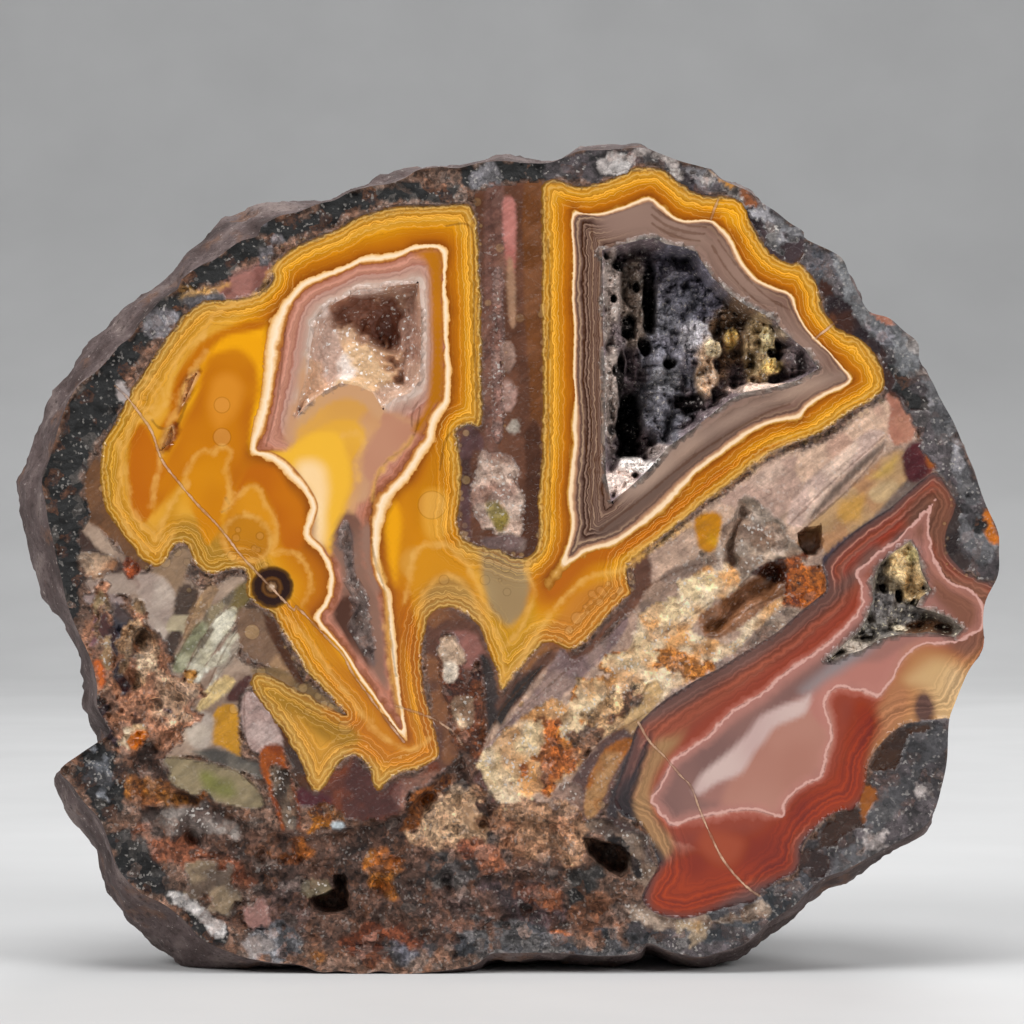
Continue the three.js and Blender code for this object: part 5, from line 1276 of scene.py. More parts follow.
# Broad tones of the golden chalcedony: colours, softness, raggedness and outline
GOLDEN = [
    ("a8803c 94703c", 1.0, 0.4,
     "146,566 160,542 172,526 186,520 206,524 232,540 258,556 266,576 230,584 204,578 190,560 176,550 "
     "164,562"),
    ("b08638 bc9040", 0.7, 0.2, "100,440 122,412 130,440 124,480 128,512 118,524 104,506 98,480"),
    ("c08a30", 0.6, 0.1,
     "120,440 132,430 128,460 130,500 142,524 156,534 168,506 182,486 160,560 130,540 116,500"),
    ("f2b82c e2a020", 0.6, 0.1,
     "222,334 240,325 262,323 267,345 263,380 259,420 252,452 249,425 251,386 240,362 222,358 210,370 "
     "200,392 190,408 200,372 208,350"),
    ("ac620e c07a20", 0.45, 0.25,
     "212,354 236,350 252,362 257,386 250,420 246,450 243,470 238,482 232,495 226,508 231,482 229,456 "
     "214,450 206,448 195,456 188,472 180,482 168,500 152,512 158,480 176,442 187,416 199,390 205,370"),
    ("cc8838", 0.8, 0.3, "216,380 232,376 240,390 232,420 216,430 208,410"),
    ("ad5e0a b86c14", 0.25, 0.1,
     "136,428 144,424 151,434 161,456 165,470 157,486 154,502 148,520 136,520 130,500 128,470 129,448"),
    ("ab600c b87018", 0.3, 0.1,
     "262,321 232,326 206,338 191,354 179,374 170,396 168,414 160,428 171,430 181,412 187,393 194,373 "
     "209,353 227,336 262,328"),
    ("cc8a24 c07c20", 0.2, 0.1,
     "184,486 190,470 196,457 206,450 213,453 219,447 229,449 231,457 226,467 228,482 230,498 222,512 "
     "220,530 206,545 196,520 190,500"),
    ("cc8c2c bc7c28", 0.2, 0.1,
     "226,511 235,499 244,490 252,487 260,491 265,503 273,515 277,530 276,546 262,556 240,548 226,530"),
    ("b87c28 a8702c", 0.2, 0.05,
     "245,513 262,520 271,534 270,550 258,562 238,562 224,550 220,534 230,520"),
    ("b0620a bc7014", 0.35, 0.1,
     "250,466 276,468 290,490 302,505 306,530 300,548 284,548 279,528 273,510 262,487 248,482 236,500 "
     "230,506 240,482"),
    ("c88a20 bc7a18", 0.5, 0.1,
     "282,604 300,606 330,650 362,696 396,738 380,736 340,700 300,650 280,624"),
    ("d89a1c", 0.5, 0.1, "326,626 350,646 376,684 394,716 384,712 356,676 330,644"),
    ("c07a18 b46c10", 0.7, 0.1,
     "330,700 360,716 396,742 430,744 434,760 400,768 370,760 344,744 322,720"),
    ("a47c30 987024", 0.6, 0.2, "256,682 290,694 330,716 356,734 352,746 326,742 300,722 272,704"),
    ("b46c10 a86008", 0.3, 0.05,
     "397,600 410,590 420,600 424,640 428,690 438,744 426,744 416,700 404,640"),
    ("c8841c b87818", 0.7, 0.1,
     "398,500 420,480 440,440 455,500 460,540 440,545 420,545 408,560 400,590 394,560"),
    ("e0a01c", 0.4, 0.1, "386,520 396,500 402,520 398,560 396,586 388,560"),
    ("d49c48", 0.6, 0.1, "424,494 440,490 452,504 450,530 436,542 424,530"),
    ("c8924c", 0.5, 0.1, "404,552 416,548 420,566 408,578 400,566"),
    ("ca8c28 c0842c", 0.3, 0.1,
     "410,590 416,558 426,546 448,546 464,562 474,582 484,606 492,640 502,684 484,640 474,616 456,598 "
     "436,596 424,612 424,640 420,640"),
    ("a8845c 9c7650", 0.7, 0.2,
     "424,640 422,600 432,584 452,576 470,590 484,620 484,642 466,632 440,634"),
    ("8a6248", 0.8, 0.3, "424,650 430,622 446,612 466,618 484,640 470,650 446,644"),
    ("9e8c84 947e74", 0.5, 0.3, "480,548 512,556 524,562 530,590 524,614 508,626 492,612 484,580"),
    ("bc8c2c", 0.6, 0.1, "486,610 510,628 526,612 532,596 536,612 524,640 504,684 494,650"),
    ("b06408 a85e08", 0.35, 0.05,
     "546,590 552,598 564,588 586,566 610,558 640,546 670,524 696,500 720,480 750,458 790,442 760,448 "
     "720,470 690,494 660,518 634,536 608,546 588,548 566,566 556,580"),
    ("c4843c b87838", 0.6, 0.2,
     "540,640 560,610 584,586 606,578 630,576 634,590 620,606 600,624 580,646 556,646"),
    ("7a3c1c", 0.2, 0.1, "200,368 186,378 180,394 177,414 184,406 190,396 196,380"),
    ("d8b0a0 b88468", 0.12, 0.1, "197,373 188,380 183,394 181,407 187,398 192,385"),
    ("7a3c1c", 0.2, 0.1, "176,421 164,432 158,452 166,452 174,443 179,430"),
    ("d8b0a0 b88468", 0.12, 0.1, "172,425 166,434 162,447 169,444 174,435"),
    ("e0a02c", 0.6, 0.1, "720,200 740,202 748,214 742,226 728,222"),
]

# Broad tones inside the eyes and the red agate
GLAZE = [
    ("c89a74 be8868", 0.4, 0.2,
     "284,440 288,410 296,396 300,372 306,352 306,392 300,420 320,408 342,394 366,394 380,410 400,416 "
     "414,424 408,440 390,454 376,474 366,500 352,500 356,470 330,430 300,446"),
    ("dba24c d0984e", 0.5, 0.1,
     "296,432 306,414 326,398 345,390 364,394 372,408 366,426 350,430 320,440 300,446"),
    ("cf9c6c c48e64", 0.35, 0.1,
     "356,430 366,412 376,412 384,430 376,446 364,466 358,500 346,540 344,500 352,462"),
    ("cc9c68 c89870", 0.25, 0.1,
     "294,428 303,410 316,394 330,386 346,381 362,385 376,393 382,404 384,416 376,418 366,406 350,399 "
     "334,401 320,410 306,424"),
    ("c08c70 b88066", 0.2, 0.1, "peach"),
    ("bc741c b06c18", 0.35, 0.1,
     "412,256 440,253 443,300 443,394 436,404 428,418 420,432 414,428 428,400 432,345 431,300 426,262"),
    ("e2a840 dca03c", 0.25, 0.1,
     "264,452 284,452 300,438 316,428 334,420 352,420 364,430 362,446 354,462 354,486 346,510 338,540 "
     "330,556 324,546 318,520 318,500 304,478 286,464"),
    ("eeb43a", 0.4, 0.1,
     "270,453 286,450 300,441 314,432 330,431 340,436 346,450 350,466 350,486 343,506 337,532 330,545 "
     "322,540 318,518 318,500 302,477 286,463"),
    ("fbdcae f8d098", 0.8, 0.1,
     "298,464 312,460 324,468 328,486 324,510 324,530 322,545 314,538 316,515 308,492 298,478"),
    ("7a5648 8c6858", 0.25, 0.1,
     "338,524 347,512 360,520 362,545 366,570 376,592 380,612 384,640 385,668 387,688 370,668 355,648 "
     "342,632 332,618 338,602 342,586 339,566 332,548"),
    ("4c3026 5a3a2e", 0.2, 0.1,
     "338,602 350,596 352,612 356,634 366,652 372,668 352,646 340,630 334,618"),
    ("947060", 0.2, 0.1, "366,520 372,540 372,564 380,590 376,594 366,570 362,545"),
    ("5c4640 74605a", 0.2, 0.3, "slit"),
    ("2a1c18", 0.1, 0.15, "350,586 358,588 360,596 354,598"),
    ("2a1c18", 0.1, 0.15, "357,600 363,598 366,606 360,610"),
    ("241814", 0.1, 0.15, "358,626 366,626 370,638 362,638"),
    ("8c7064 967a6c", 1.2, 0.2,
     "600,216 640,200 670,206 700,226 716,252 700,246 676,236 650,232 612,236"),
    ("967a6c 86685c", 1.2, 0.2,
     "716,240 740,262 770,296 800,330 826,366 800,350 776,310 740,290 712,262"),
    ("8c7468 ac907e", 0.9, 0.2,
     "640,470 700,430 760,400 830,372 850,376 800,396 760,412 700,446 650,490 620,500"),
    ("6a544a", 0.5, 0.1, "596,528 640,498 700,448 760,412 784,404 750,420 700,460 640,512 606,534"),
    ("68463a 7a4e3c", 1.0, 0.4,
     "902,520 940,486 956,520 946,560 964,590 984,600 980,640 940,640 960,620 936,590 930,550"),
    ("7c5444", 0.8, 0.3, "940,590 976,580 990,600 986,640 966,656 950,640 962,620"),
    ("a87048 b88454", 1.2, 0.3,
     "884,700 896,680 906,656 926,646 950,650 966,660 980,650 984,640 972,680 960,720 930,726 900,730 "
     "880,750 872,770 866,790 870,740"),
    ("c49c68 c8a478", 1.0, 0.3, "908,680 930,662 950,664 968,680 958,712 940,722 926,690"),
    ("5c4038", 0.35, 0.2, "918,696 928,694 934,706 930,722 920,722 915,708"),
    ("a8704c", 0.8, 0.2, "884,700 900,684 910,700 900,724 880,740 872,730"),
    ("98704c a07850", 0.6, 0.1,
     "632,800 642,766 656,740 690,712 680,740 662,764 650,790 656,816 672,842 664,858 640,838 626,820"),
    ("705048 64443c", 0.8, 0.1,
     "648,716 690,688 760,640 830,590 870,548 880,556 850,596 790,640 720,690 666,730"),
    ("98503a 8a4430", 0.7, 0.1,
     "640,732 690,704 740,672 800,632 850,590 876,560 868,580 830,620 780,660 720,704 676,736"),
    ("96340f 7c2609", 0.8, 0.1,
     "650,896 670,860 720,836 760,830 800,796 830,776 846,730 860,700 880,720 868,760 860,800 800,836 "
     "790,870 740,890 700,912 660,912"),
    ("9c4428", 0.8, 0.2, "704,830 740,836 744,850 728,866 700,852"),
    ("7a5852 88625a", 0.5, 0.1,
     "654,800 664,778 676,764 720,734 760,706 800,676 840,640 860,620 846,650 806,690 770,716 744,744 "
     "722,770 700,790 702,800 720,806 690,818 674,820"),
    ("b07c6c a87262", 0.6, 0.1,
     "722,804 730,780 746,750 768,724 800,706 812,700 826,704 832,724 830,752 818,772 792,790 776,812 "
     "750,806"),
    ("b07468", 0.4, 0.1,
     "806,700 820,676 850,664 880,662 900,650 890,676 880,694 868,690 850,684 832,690 826,706 830,730 "
     "816,720"),
    ("cbb0a8 bfa09a", 0.35, 0.1,
     "694,790 700,776 716,762 732,750 748,734 760,716 780,706 800,700 812,692 806,712 790,720 772,730 "
     "758,748 742,772 720,782 700,794"),
    ("8a8080", 0.8, 0.1, "800,690 830,664 862,640 880,640 862,656 832,676 812,692"),
    ("7c5040 8a5c48", 0.9, 0.2,
     "930,560 950,578 976,584 990,600 984,640 962,650 946,640 952,622 936,596"),
    ("382e30 2a2224", 0.35, 0.2,
     "617,802 632,770 644,742 652,728 650,744 638,780 632,802 640,826 662,856 656,864 636,842"),
    ("5e423c", 0.5, 0.1, "860,620 870,600 876,560 900,530 906,540 880,580 874,620 850,646 830,654"),
]

# Hollows with a rim of small crystals on the face: colours, width in mm and outline
CRUMBLED = [
    ("d8b8a8 b89078", 0.02, moved(DRUSE_OUTLINE)),
    ("4c4440 94867c", 0.15, moved(CAVITY_OUTLINE)),
    ("5a4c44 8c7c70", 0.1, moved(SMALL_OUTLINE)),
    ("4c3832 8c7870", -0.1, "slit"),
]

# Thin pale and dark lines: half width in mm and places
PALE_LINES = [
    (0.1,
     "279,262 269,276 262,291 245,301 228,306 214,314 205,330 196,341 184,349 176,361 170,378 167,394"),
    (0.13, "206,351 197,364 189,378 181,395 178,408 170,422 163,440 160,455 159,470 155,486 151,506"),
    (0.09,
     "135,415 128,435 124,455 126,480 130,505 138,521 150,530 158,538 164,520 172,503 180,490 187,484"),
    (0.07, "118,440 122,470 118,500 125,521 140,541 155,551 166,545 174,530"),
    (0.08,
     "182,488 188,470 194,458 204,450 212,453 218,447 228,448 231,456 226,466 228,482 230,497 224,511"),
    (0.1,
     "225,511 234,500 243,490 252,486 260,491 265,503 273,515 277,528 276,545 270,553 288,551 302,560 "
     "310,574 310,590 302,604"),
    (0.07, "145,378 156,382 164,394 163,408 154,417 143,418"),
    (0.06, "145,386 152,389 156,397 154,406 146,409 138,404 137,394"),
    (0.07, "245,515 260,520 269,532 270,546 262,558 246,562 232,556 223,542 226,526 236,517"),
    (0.1,
     "404,602 410,576 413,556 423,546 436,545 448,546 458,555 468,566 475,580 483,600 489,622 500,642 "
     "504,678"),
    (0.07, "418,612 424,596 434,582 446,574 458,580 468,590 478,606 484,628"),
    (0.1, "505,684 520,662 534,640 548,618 562,600 582,582 600,574 622,570 636,560 660,543 690,524"),
    (0.09, "632,553 652,540 676,522 700,503 728,484 756,462 786,444 806,440"),
    (0.08, "530,560 526,572 534,588 530,608 520,630 506,646"),
    (0.08, "286,618 296,626 312,646 330,672 350,698 372,726 392,742 412,750 430,738"),
    (0.08, "378,560 386,590 388,640 392,676 399,712"),
    (0.07, "344,436 358,432 364,444 356,462 358,480"),
    (0.07, "372,500 376,478 386,464 400,452 412,438"),
    (0.08, "180,288 188,288 192,292"),
    (0.1, "182,296 200,292 214,290 226,284"),
]
DARK_LINES = [
    (0.12, "652,207 666,217 686,225 706,227"), (0.12, "652,215 666,225 686,232 704,234"),
    (0.1, "652,223 664,231 680,238 700,241"), (0.08, "718,240 740,270 766,296 790,310"),
    (0.08, "712,246 732,276 758,302 782,318"),
    (0.1,
     "420,408 416,430 406,447 386,462 377,478 373,500 371,530 374,556 384,588 388,612 391,640 396,676"),
    (0.08, "418,402 412,414 412,426"),
    (0.07, "286,322 284,345 280,380 277,402 271,428 266,446"),
    (0.1, "600,530 640,500 700,452 760,416 790,404"),
    (0.07, "583,222 584,300 584,420 592,500 586,534"),
    (0.06, "592,226 592,300 591,420 599,500"),
    (0.07, "598,240 598,330 597,430 603,496"),
    (0.1, "446,226 470,226 474,260 474,330 476,420 462,424 446,440 440,470"),
    (0.07, "548,240 550,300 548,380 550,470 548,540 530,560"),
    (0.08, "226,498 230,507 222,512"),
    (0.12, "152,420 160,428 176,426 186,404"),
    (0.08, "654,640 700,610 712,600"),
    (0.1, "640,846 644,866 648,880"),
    (0.06, "186,672 194,652 208,630 220,614 236,606"), (0.05, "190,680 208,662 222,640 234,624"),
    (0.06, "206,690 216,668 226,648 238,630"),
    (0.05, "172,668 186,640 200,622"), (0.05, "187,620 204,590 211,584"),
    (0.06, "174,655 192,616 198,588"),
    (0.05, "218,676 232,658 244,638"), (0.06, "244,694 246,740 255,753"),
    (0.05, "196,710 218,680"),
    (0.05, "161,758 205,760 236,771 256,788"), (0.06, "140,602 150,632 157,654"),
    (0.07, "486,752 500,712 532,676 556,648 572,664"), (0.06, "484,748 520,712 560,676 590,652"),
    (0.08, "642,590 680,570 720,560"),
    (0.07, "700,640 740,614 790,590"), (0.08, "560,778 600,744 648,712"),
    (0.1, "474,664 482,700 480,745"),
    (0.08, "786,528 830,484 884,436"), (0.08, "798,534 850,488 884,448"),
    (0.16, "462,745 472,758 478,775 484,795 490,815 494,832 500,845"),
]

# Rows of small beads: places of a line, and the most and least radius in mm
BEAD_ROWS = [
    ("545,190 543,290 545,400 541,470 540,550 530,562", 0.2, 0.4),
    ("479,220 480,330 480,420", 0.15, 0.3),
    ("460,436 462,520 478,548 520,556", 0.25, 0.4),
    ("632,590 634,566 680,530 720,500 760,464 800,446 840,428 880,400", 0.22, 0.42),
    ("256,262 300,240 360,218 420,208 470,204", 0.15, 0.28),
    ("272,616 284,640 300,668 306,682", 0.15, 0.35),
    ("258,690 280,716 300,750 314,784", 0.1, 0.2),
    ("106,450 104,490 116,520", 0.2, 0.4),
    ("560,640 600,600 628,590", 0.2, 0.45),
    ("570,620 610,585", 0.2, 0.4),
    ("505,345 503,400 506,440", 0.1, 0.2),
    ("952,500 946,530 950,565 975,578", 0.12, 0.25),
]

# Small round inclusions: column, row, radius in tenths of a millimetre, and how pale they are
ORBS = [
    (222, 405, 8, 0.35), (222, 437, 9, 0.6), (432, 505, 14, 0.5), (489, 563, 5, 0.1), (506, 568, 5, 0.1),
    (485, 580, 5, 0.1), (507, 592, 4, 0.1), (498, 558, 3, 0.1), (500, 580, 2, 0.1), (252, 632, 8, 0.8),
    (261, 671, 5, 0.6), (268, 678, 4, 0.6), (294, 690, 4, 0.7), (303, 688, 5, 0.8), (318, 696, 4, 0.6),
    (324, 704, 4, 0.8), (331, 707, 4, 0.8), (339, 708, 5, 0.3), (345, 727, 7, 0.4), (308, 711, 4, 0.3),
    (165, 562, 6, 0.5), (177, 552, 5, 0.3), (191, 547, 4, 0.4), (147, 568, 3, 0.6), (466, 433, 4, 0.9),
    (463, 535, 5, 0.8), (466, 480, 5, 0.8), (238, 530, 3, 0.4), (236, 538, 4, 0.3), (260, 536, 4, 0.4),
    (254, 548, 3, 0.4), (258, 550, 3, 0.4), (232, 556, 5, 0.2), (145, 398, 3, 0.3), (107, 494, 4, 0.3),
    (234, 709, 5, 0.8), (246, 586, 4, 0.2), (189, 590, 3, 0.5), (265, 566, 4, 0.4), (543, 311, 4, 0.7),
    (542, 370, 3, 0.5), (488, 303, 4, 0.5), (500, 248, 5, 0.5), (477, 202, 5, 0.4), (520, 318, 5, 0.3),
    (577, 618, 6, 0.6), (592, 594, 4, 0.4), (600, 590, 4, 0.4), (901, 419, 3, 0.1), (769, 492, 3, 0.1),
    (601, 805, 5, 0.7), (209, 580, 6, 0.2), (187, 562, 4, 0.2), (197, 578, 4, 0.2), (444, 580, 5, 0.4),
]
BEAD_GAP = 0.75
BEAD_SHIFT = 0.22
BEAD_CHANCE = 0.8
BEAD_PALENESS = (0.3, 0.8)

# Outlines of the agates, and of the rind that lies over their edges
AGATES = ("gold", "west_out", "east_out", "red_out")
RINDS = ("black_rind", "sw_rind_a", "sw_rind_b", "right_rind", "low_rind")

# Depths inside the edge between which the golden lining fades, in mm
LINING = (3.4, 1.4)

# Dark eye of the golden chalcedony: its middle by column and row, and its radius in mm
EYE = (272, 587)
EYE_RADIUS = 2.2

GROUND_COLOUR = "7a5c4c"
GOLD_EDGE = "8a6638"
GOLD_WARMTH = (1.1, 1.0, 0.55, 1.0)

# Colours of the bands, from the outer line of each at 0 to the inner one at 1
GOLD_BY_SHARE = [
    (0.0, "70522c"),
    (0.05, "a07c48"), (0.13, "c49a5c"), (0.22, "be8834"), (0.34, "d4a04c"), (0.46, "d0952e"),
    (0.58, "c6851e"), (0.72, "b8730f"), (0.88, "aa640a"), (1.0, "8a4c06"),
]
EYE_BANDS = [
    (0.0, "a87420"),
    (0.08, "5c3c14"), (0.2, "2c1a0c"), (0.4, "2a180c"), (0.5, "6a4420"), (0.62, "3c2412"),
    (0.72, "8a6848"), (0.8, "e8ccb0"), (1.0, "d8b090"),
]
WEST_RING = [
    (0.0, "a8620c"),
    (0.1, "e2a860"), (0.3, "f8d4a4"), (0.55, "fde4c4"), (0.72, "f2c48c"), (0.84, "c08040"),
    (1.0, "9a5628"),
]
WEST_BANDS = [
    (0.0, "8e5236"),
    (0.08, "b0715a"), (0.24, "c48a76"), (0.4, "b67e68"), (0.5, "a8705e"), (0.58, "c09484"),
    (0.7, "ae8474"), (0.84, "b89484"), (0.94, "c0a090"), (1.0, "ccb4a6"),
]
EAST_RING = [
    (0.0, "945608"),
    (0.2, "d09848"), (0.36, "fadcb4"), (0.56, "f6d4ac"), (0.72, "c0906c"), (1.0, "7a5a4e"),
]
EAST_BANDS = [
    (0.0, "6c5044"),
    (0.12, "7e6052"), (0.3, "86665a"), (0.45, "755a4e"), (0.6, "83675b"), (0.8, "795f54"),
    (1.0, "94786c"),
]
RED_BANDS = [
    (0.0, "352626"),
    (0.06, "5c403c"), (0.2, "6c443c"), (0.26, "a8705f"), (0.3, "7a4238"), (0.42, "84402e"),
    (0.56, "a06050"), (0.62, "84382a"), (0.85, "8e3c28"), (0.95, "a85c4c"), (1.0, "c48c7c"),
]

# Thin layers: colours, and how dark or bright each layer is
EAST_LINES = [(0.36, "402a22"), (0.48, "6a5044"), (0.58, "84685a"), (0.68, "a4866c")]
EAST_TONES = [(0.38, 0.72), (0.5, 1.0), (0.62, 1.2)]
RED_LAYERS = [(0.34, 0.66), (0.46, 0.9), (0.52, 1.04), (0.64, 1.36)]
WEST_LAYERS = [(0.34, 0.82), (0.5, 1.0), (0.66, 1.18)]
GOLD_TONES = [
    (0.0, 0.6), (0.05, 0.8), (0.1, 1.15), (0.15, 1.3), (0.2, 0.92), (0.26, 0.86), (0.33, 1.2), (0.38, 1.45),
    (0.43, 1.0), (0.52, 0.84), (0.6, 0.95), (0.66, 1.2), (0.71, 0.96), (0.84, 0.8), (1.0, 0.9),
]
CRUMBS = [(0.3, 0.15), (0.42, 0.7), (0.5, 1.0), (0.6, 1.3), (0.7, 1.9)]

# Where the bands of the east eye turn from fine to calm, to the right of the middle in mm
CALM_FROM = (10.5, 14.0)

# Roughness of the polish, and the light it gives back everywhere, taken off the colours under it
POLISH = 0.17
VEIL = 0.008


def all_orbs():
    """The named inclusions and the beads of the rows: x, z, radius in mm and paleness."""
    places = on_face([orb[:2] for orb in ORBS])
    found = [(x, z, orb[2] / UNITS_PER_MM, orb[3]) for (x, z), orb in zip(places, ORBS)]
    draw = np.random.default_rng(7)
    for row, least, most in BEAD_ROWS:
        line = curve(on_face(row), BEAD_GAP, closed=False)
        for x, z in line + draw.uniform(-BEAD_SHIFT, BEAD_SHIFT, line.shape):
            if draw.random() < BEAD_CHANCE:
                found.append((x, z, draw.uniform(least, most), draw.uniform(*BEAD_PALENESS)))
    return found


def laid(under, share, over):
    """A layer with another one, or one colour, laid over it to a share of each place."""
    return under + share[:, None] * (over - under)


def mixture(codes, cloud, contrast):
    """One colour for all places, or a cloudy mixture of two."""
    first, *second = [np.array(tint(code)) for code in codes.split()]
    colours = np.tile(first, (len(cloud), 1))
    if second:
        colours += ease(-contrast, contrast, cloud)[:, None] * (second[0] - first)
    return colours


class Canvas:
    """Colours painted on places of the face, patch over patch."""

    def __init__(self, places, lump, layers, contrast):
        self.places = places
        self.contrast = contrast
        self.ripple = rough(places.spots, lump, layers, 31)
        self.cloud = rough(places.spots, 1.6 * lump, layers, 37)

    def paint(self, layer, codes, soft, ragged, shape):
        """Lays colours over a layer within an outline, and gives the new layer and their share."""
        away = self.places.signed(traced(shape), soft + 2 * ragged + 0.6)
        share = ease(-soft, soft, away + ragged * self.ripple)
        return laid(layer, share, mixture(codes, self.cloud, self.contrast)), share


def graded(values, stops):
    """Colours by value, between stops of place and colour code."""
    places = [place for place, _ in stops]
    codes = np.array([tint(code) for _, code in stops])
    return np.stack([np.interp(values, places, channel) for channel in codes.T], axis=1)


def painted(rocky, smooth, fields):
    """The painted layers of the face, and how gritty, speckled and rough each place is."""
    count = len(rocky.ripple)
    ground = np.tile(tint(GROUND_COLOUR), (count, 1))
    texture = np.tile(TEXTURES["rocky"], (count, 1))
    for patches, softer, raggedness in ((GROUND, 0.03, 1.0), (COVER, 0.0, 1.5)):
        for codes, soft, ragged, kind, shape in patches:
            ground, share = rocky.paint(ground, codes, 0.5 * soft + softer, raggedness * ragged, shape)
            texture = laid(texture, share, np.array(TEXTURES[kind]))
    agate = np.max([fields[name] for name in AGATES], axis=0)
    texture *= ease(0.1, -0.1, agate)[:, None]

    golden = graded(fields["gold_share"] + 0.04 * smooth.ripple, GOLD_BY_SHARE)
    for codes, soft, ragged, shape in GOLDEN:
        golden, _ = smooth.paint(golden, codes, soft, ragged, shape)
    golden = laid(golden, 0.5 * ease(0.7, 0.0, fields["gold"]), np.array(tint(GOLD_EDGE)))
    golden *= GOLD_WARMTH

    glaze = np.zeros((count, 4))
    for codes, soft, ragged, shape in GLAZE:
        glaze, _ = smooth.paint(glaze, codes, soft, ragged, shape)
    crystals = noise(rocky.places.spots, 0.6, 3)
    for codes, wide, outline in CRUMBLED:
        away = rocky.places.signed(traced(outline), 2.0)
        share = ease(-wide - 0.12, -wide + 0.12, away + 0.35 * rocky.ripple)
        glaze = laid(glaze, share, mixture(codes, crystals, 0.5))
        texture = laid(texture, share, np.array(TEXTURES["sugary"]))
    return {"ground": ground, "golden": golden, "glaze": glaze, "texture": texture}


class FaceLook(Look):
    """The material of the face, with the noises that its regions share."""

    def __init__(self, names):
        super().__init__("banded_agate_face", names)
        self.fine = self.channels(0.55, 5.0, 0.7)
        self.middling = self.channels(1.7, 3.0, 0.55)
        self.tiny = self.times(self.add(self.fine[2], -0.5), 0.16)
        folded = self.math("ABSOLUTE", self.add(self.middling[0], -0.5))
        self.small = self.add(self.times(folded, 1.5), -0.13)
        self.grit, self.white, self.coarse = self.split(self.attribute("texture"))[:3]
        self.bare = self.math("SUBTRACT", 1.0, self.attribute("glaze", "Alpha"))

    def swayed(self, name, share=1.0):
        """One of the fields, swaying by a share of the small waves."""
        return self.add(self.field(name), self.times(self.small, share))

    def bands(self, name, share, stops):
        """Bands of colour by one of the fields, swaying by a share of the small waves."""
        return self.ramp(self.swayed(name, share), stops)

    def lay_gold(self, colour):
        """Golden chalcedony whose thin layers follow its own edge, and its dark eye."""
        inward = self.swayed("gold")
        lining = self.field("lining")
        bent = self.add(inward, self.times(self.add(self.middling[2], -0.5), 0.5))
        tones = self.ramp(self.times(bent, 0.3), GOLD_TONES)
        gold = self.mix(lining, self.attribute("golden"), tones, "MULTIPLY")
        layers = self.strata(inward, 0.24, 3.0, 3.0)
        bright = self.times(self.between(layers, 0.52, 0.64), self.times(lining, 0.4))
        dark = self.times(self.between(layers, 0.48, 0.36), self.times(lining, 0.5))
        gold = self.mix(bright, gold, "efc070")
        gold = self.mix(dark, gold, "8a520e")
        edge = self.add(self.times(self.small, 0.7), self.add(self.field("gold"), self.tiny))
        colour = self.mix(self.edge(edge, 0.07), colour, gold)
        eye = self.swayed("eye", 0.5)
        return self.mix(self.edge(eye, 0.1), colour, self.ramp(self.times(eye, 0.4), EYE_BANDS))

    def lay_west_eye(self, colour):
        """Pale ring and pinkish brown bands round the left hollow."""
        ring = self.bands("west_ring", 0.5, WEST_RING)
        colour = self.mix(self.edge(self.swayed("west_out")), colour, ring)
        inner = self.bands("west_share", 0.35, WEST_BANDS)
        return self.mix(self.edge(self.swayed("west_in")), colour, inner)

    def lay_east_eye(self, colour):
        """Pale ring and brown bands round the right hollow, finer on the left than on the right."""
        ring = self.bands("east_ring", 0.4, EAST_RING)
        colour = self.mix(self.edge(self.swayed("east_out")), colour, ring)
        lines = self.ramp(self.strata(self.swayed("east_in", 0.8), 0.34, 2.0, 5.0), EAST_LINES)
        tones = self.ramp(self.strata(self.swayed("east_in", 1.2), 0.9, 2.0, 8.0), EAST_TONES)
        faint = self.mix(0.3, self.bands("east_share", 0.25, EAST_BANDS), lines)
        faint = self.mix(1.0, faint, tones, "MULTIPLY")
        x = self.node("SeparateXYZ", {0: self.here}).outputs[0]
        calm = self.between(self.add(x, self.small), *CALM_FROM)
        return self.mix(self.edge(self.swayed("east_in", 0.6)), colour, self.mix(calm, lines, faint))

    def lay_red_agate(self, colour):
        """Red bands on the right, round a mauve core."""
        red = self.bands("red_share", 0.2, RED_BANDS)
        red = self.mix(self.edge(self.field("red_in"), 0.08), red, "9a6a60")
        return self.mix(self.edge(self.add(self.field("red_out"), self.tiny), 0.08), colour, red)

    def lay_glaze(self, colour):
        """Broad painted tones inside the eyes and the red agate."""
        agate = self.most(self.field("west_in"), self.most(self.field("east_in"), self.field("red_out")))
        clear = self.mix(self.attribute("glaze", "Alpha"), colour, (0.0, 0.0, 0.0, 1.0))
        toned = self.mix(1.0, clear, self.attribute("glaze"), "ADD")
        return self.mix(self.edge(agate, 0.1), colour, toned)

    def lay_layers(self, colour):
        """Thin layers of the red agate and the west eye, and the bright line round the red core."""
        layers = self.ramp(self.strata(self.swayed("red_out"), 0.4, 2.0, 9.0), RED_LAYERS)
        outer = self.times(self.between(self.field("red_out"), 4.5, 1.5), 0.8)
        banded = self.times(outer, self.edge(self.add(self.field("red_out"), -0.2), 0.1))
        colour = self.mix(banded, colour, layers, "MULTIPLY")
        layers = self.ramp(self.strata(self.swayed("west_in"), 0.6, 3.0, 11.0), WEST_LAYERS)
        unglazed = self.times(self.edge(self.field("west_in"), 0.1), self.bare)
        colour = self.mix(unglazed, colour, layers, "MULTIPLY")
        core = self.swayed("red_in")
        off_edge = self.between(self.field("red_out"), 0.3, 1.2)
        glow = self.times(self.times(self.between(core, 1.3, 0.2), self.edge(core, 0.05)), 0.55)
        colour = self.mix(self.times(glow, off_edge), colour, "b87c70")
        line = self.between(self.math("ABSOLUTE", self.add(core, -0.12)), 0.2, 0.04)
        return self.mix(self.times(self.times(line, off_edge), 0.8), colour, "d8a89c")

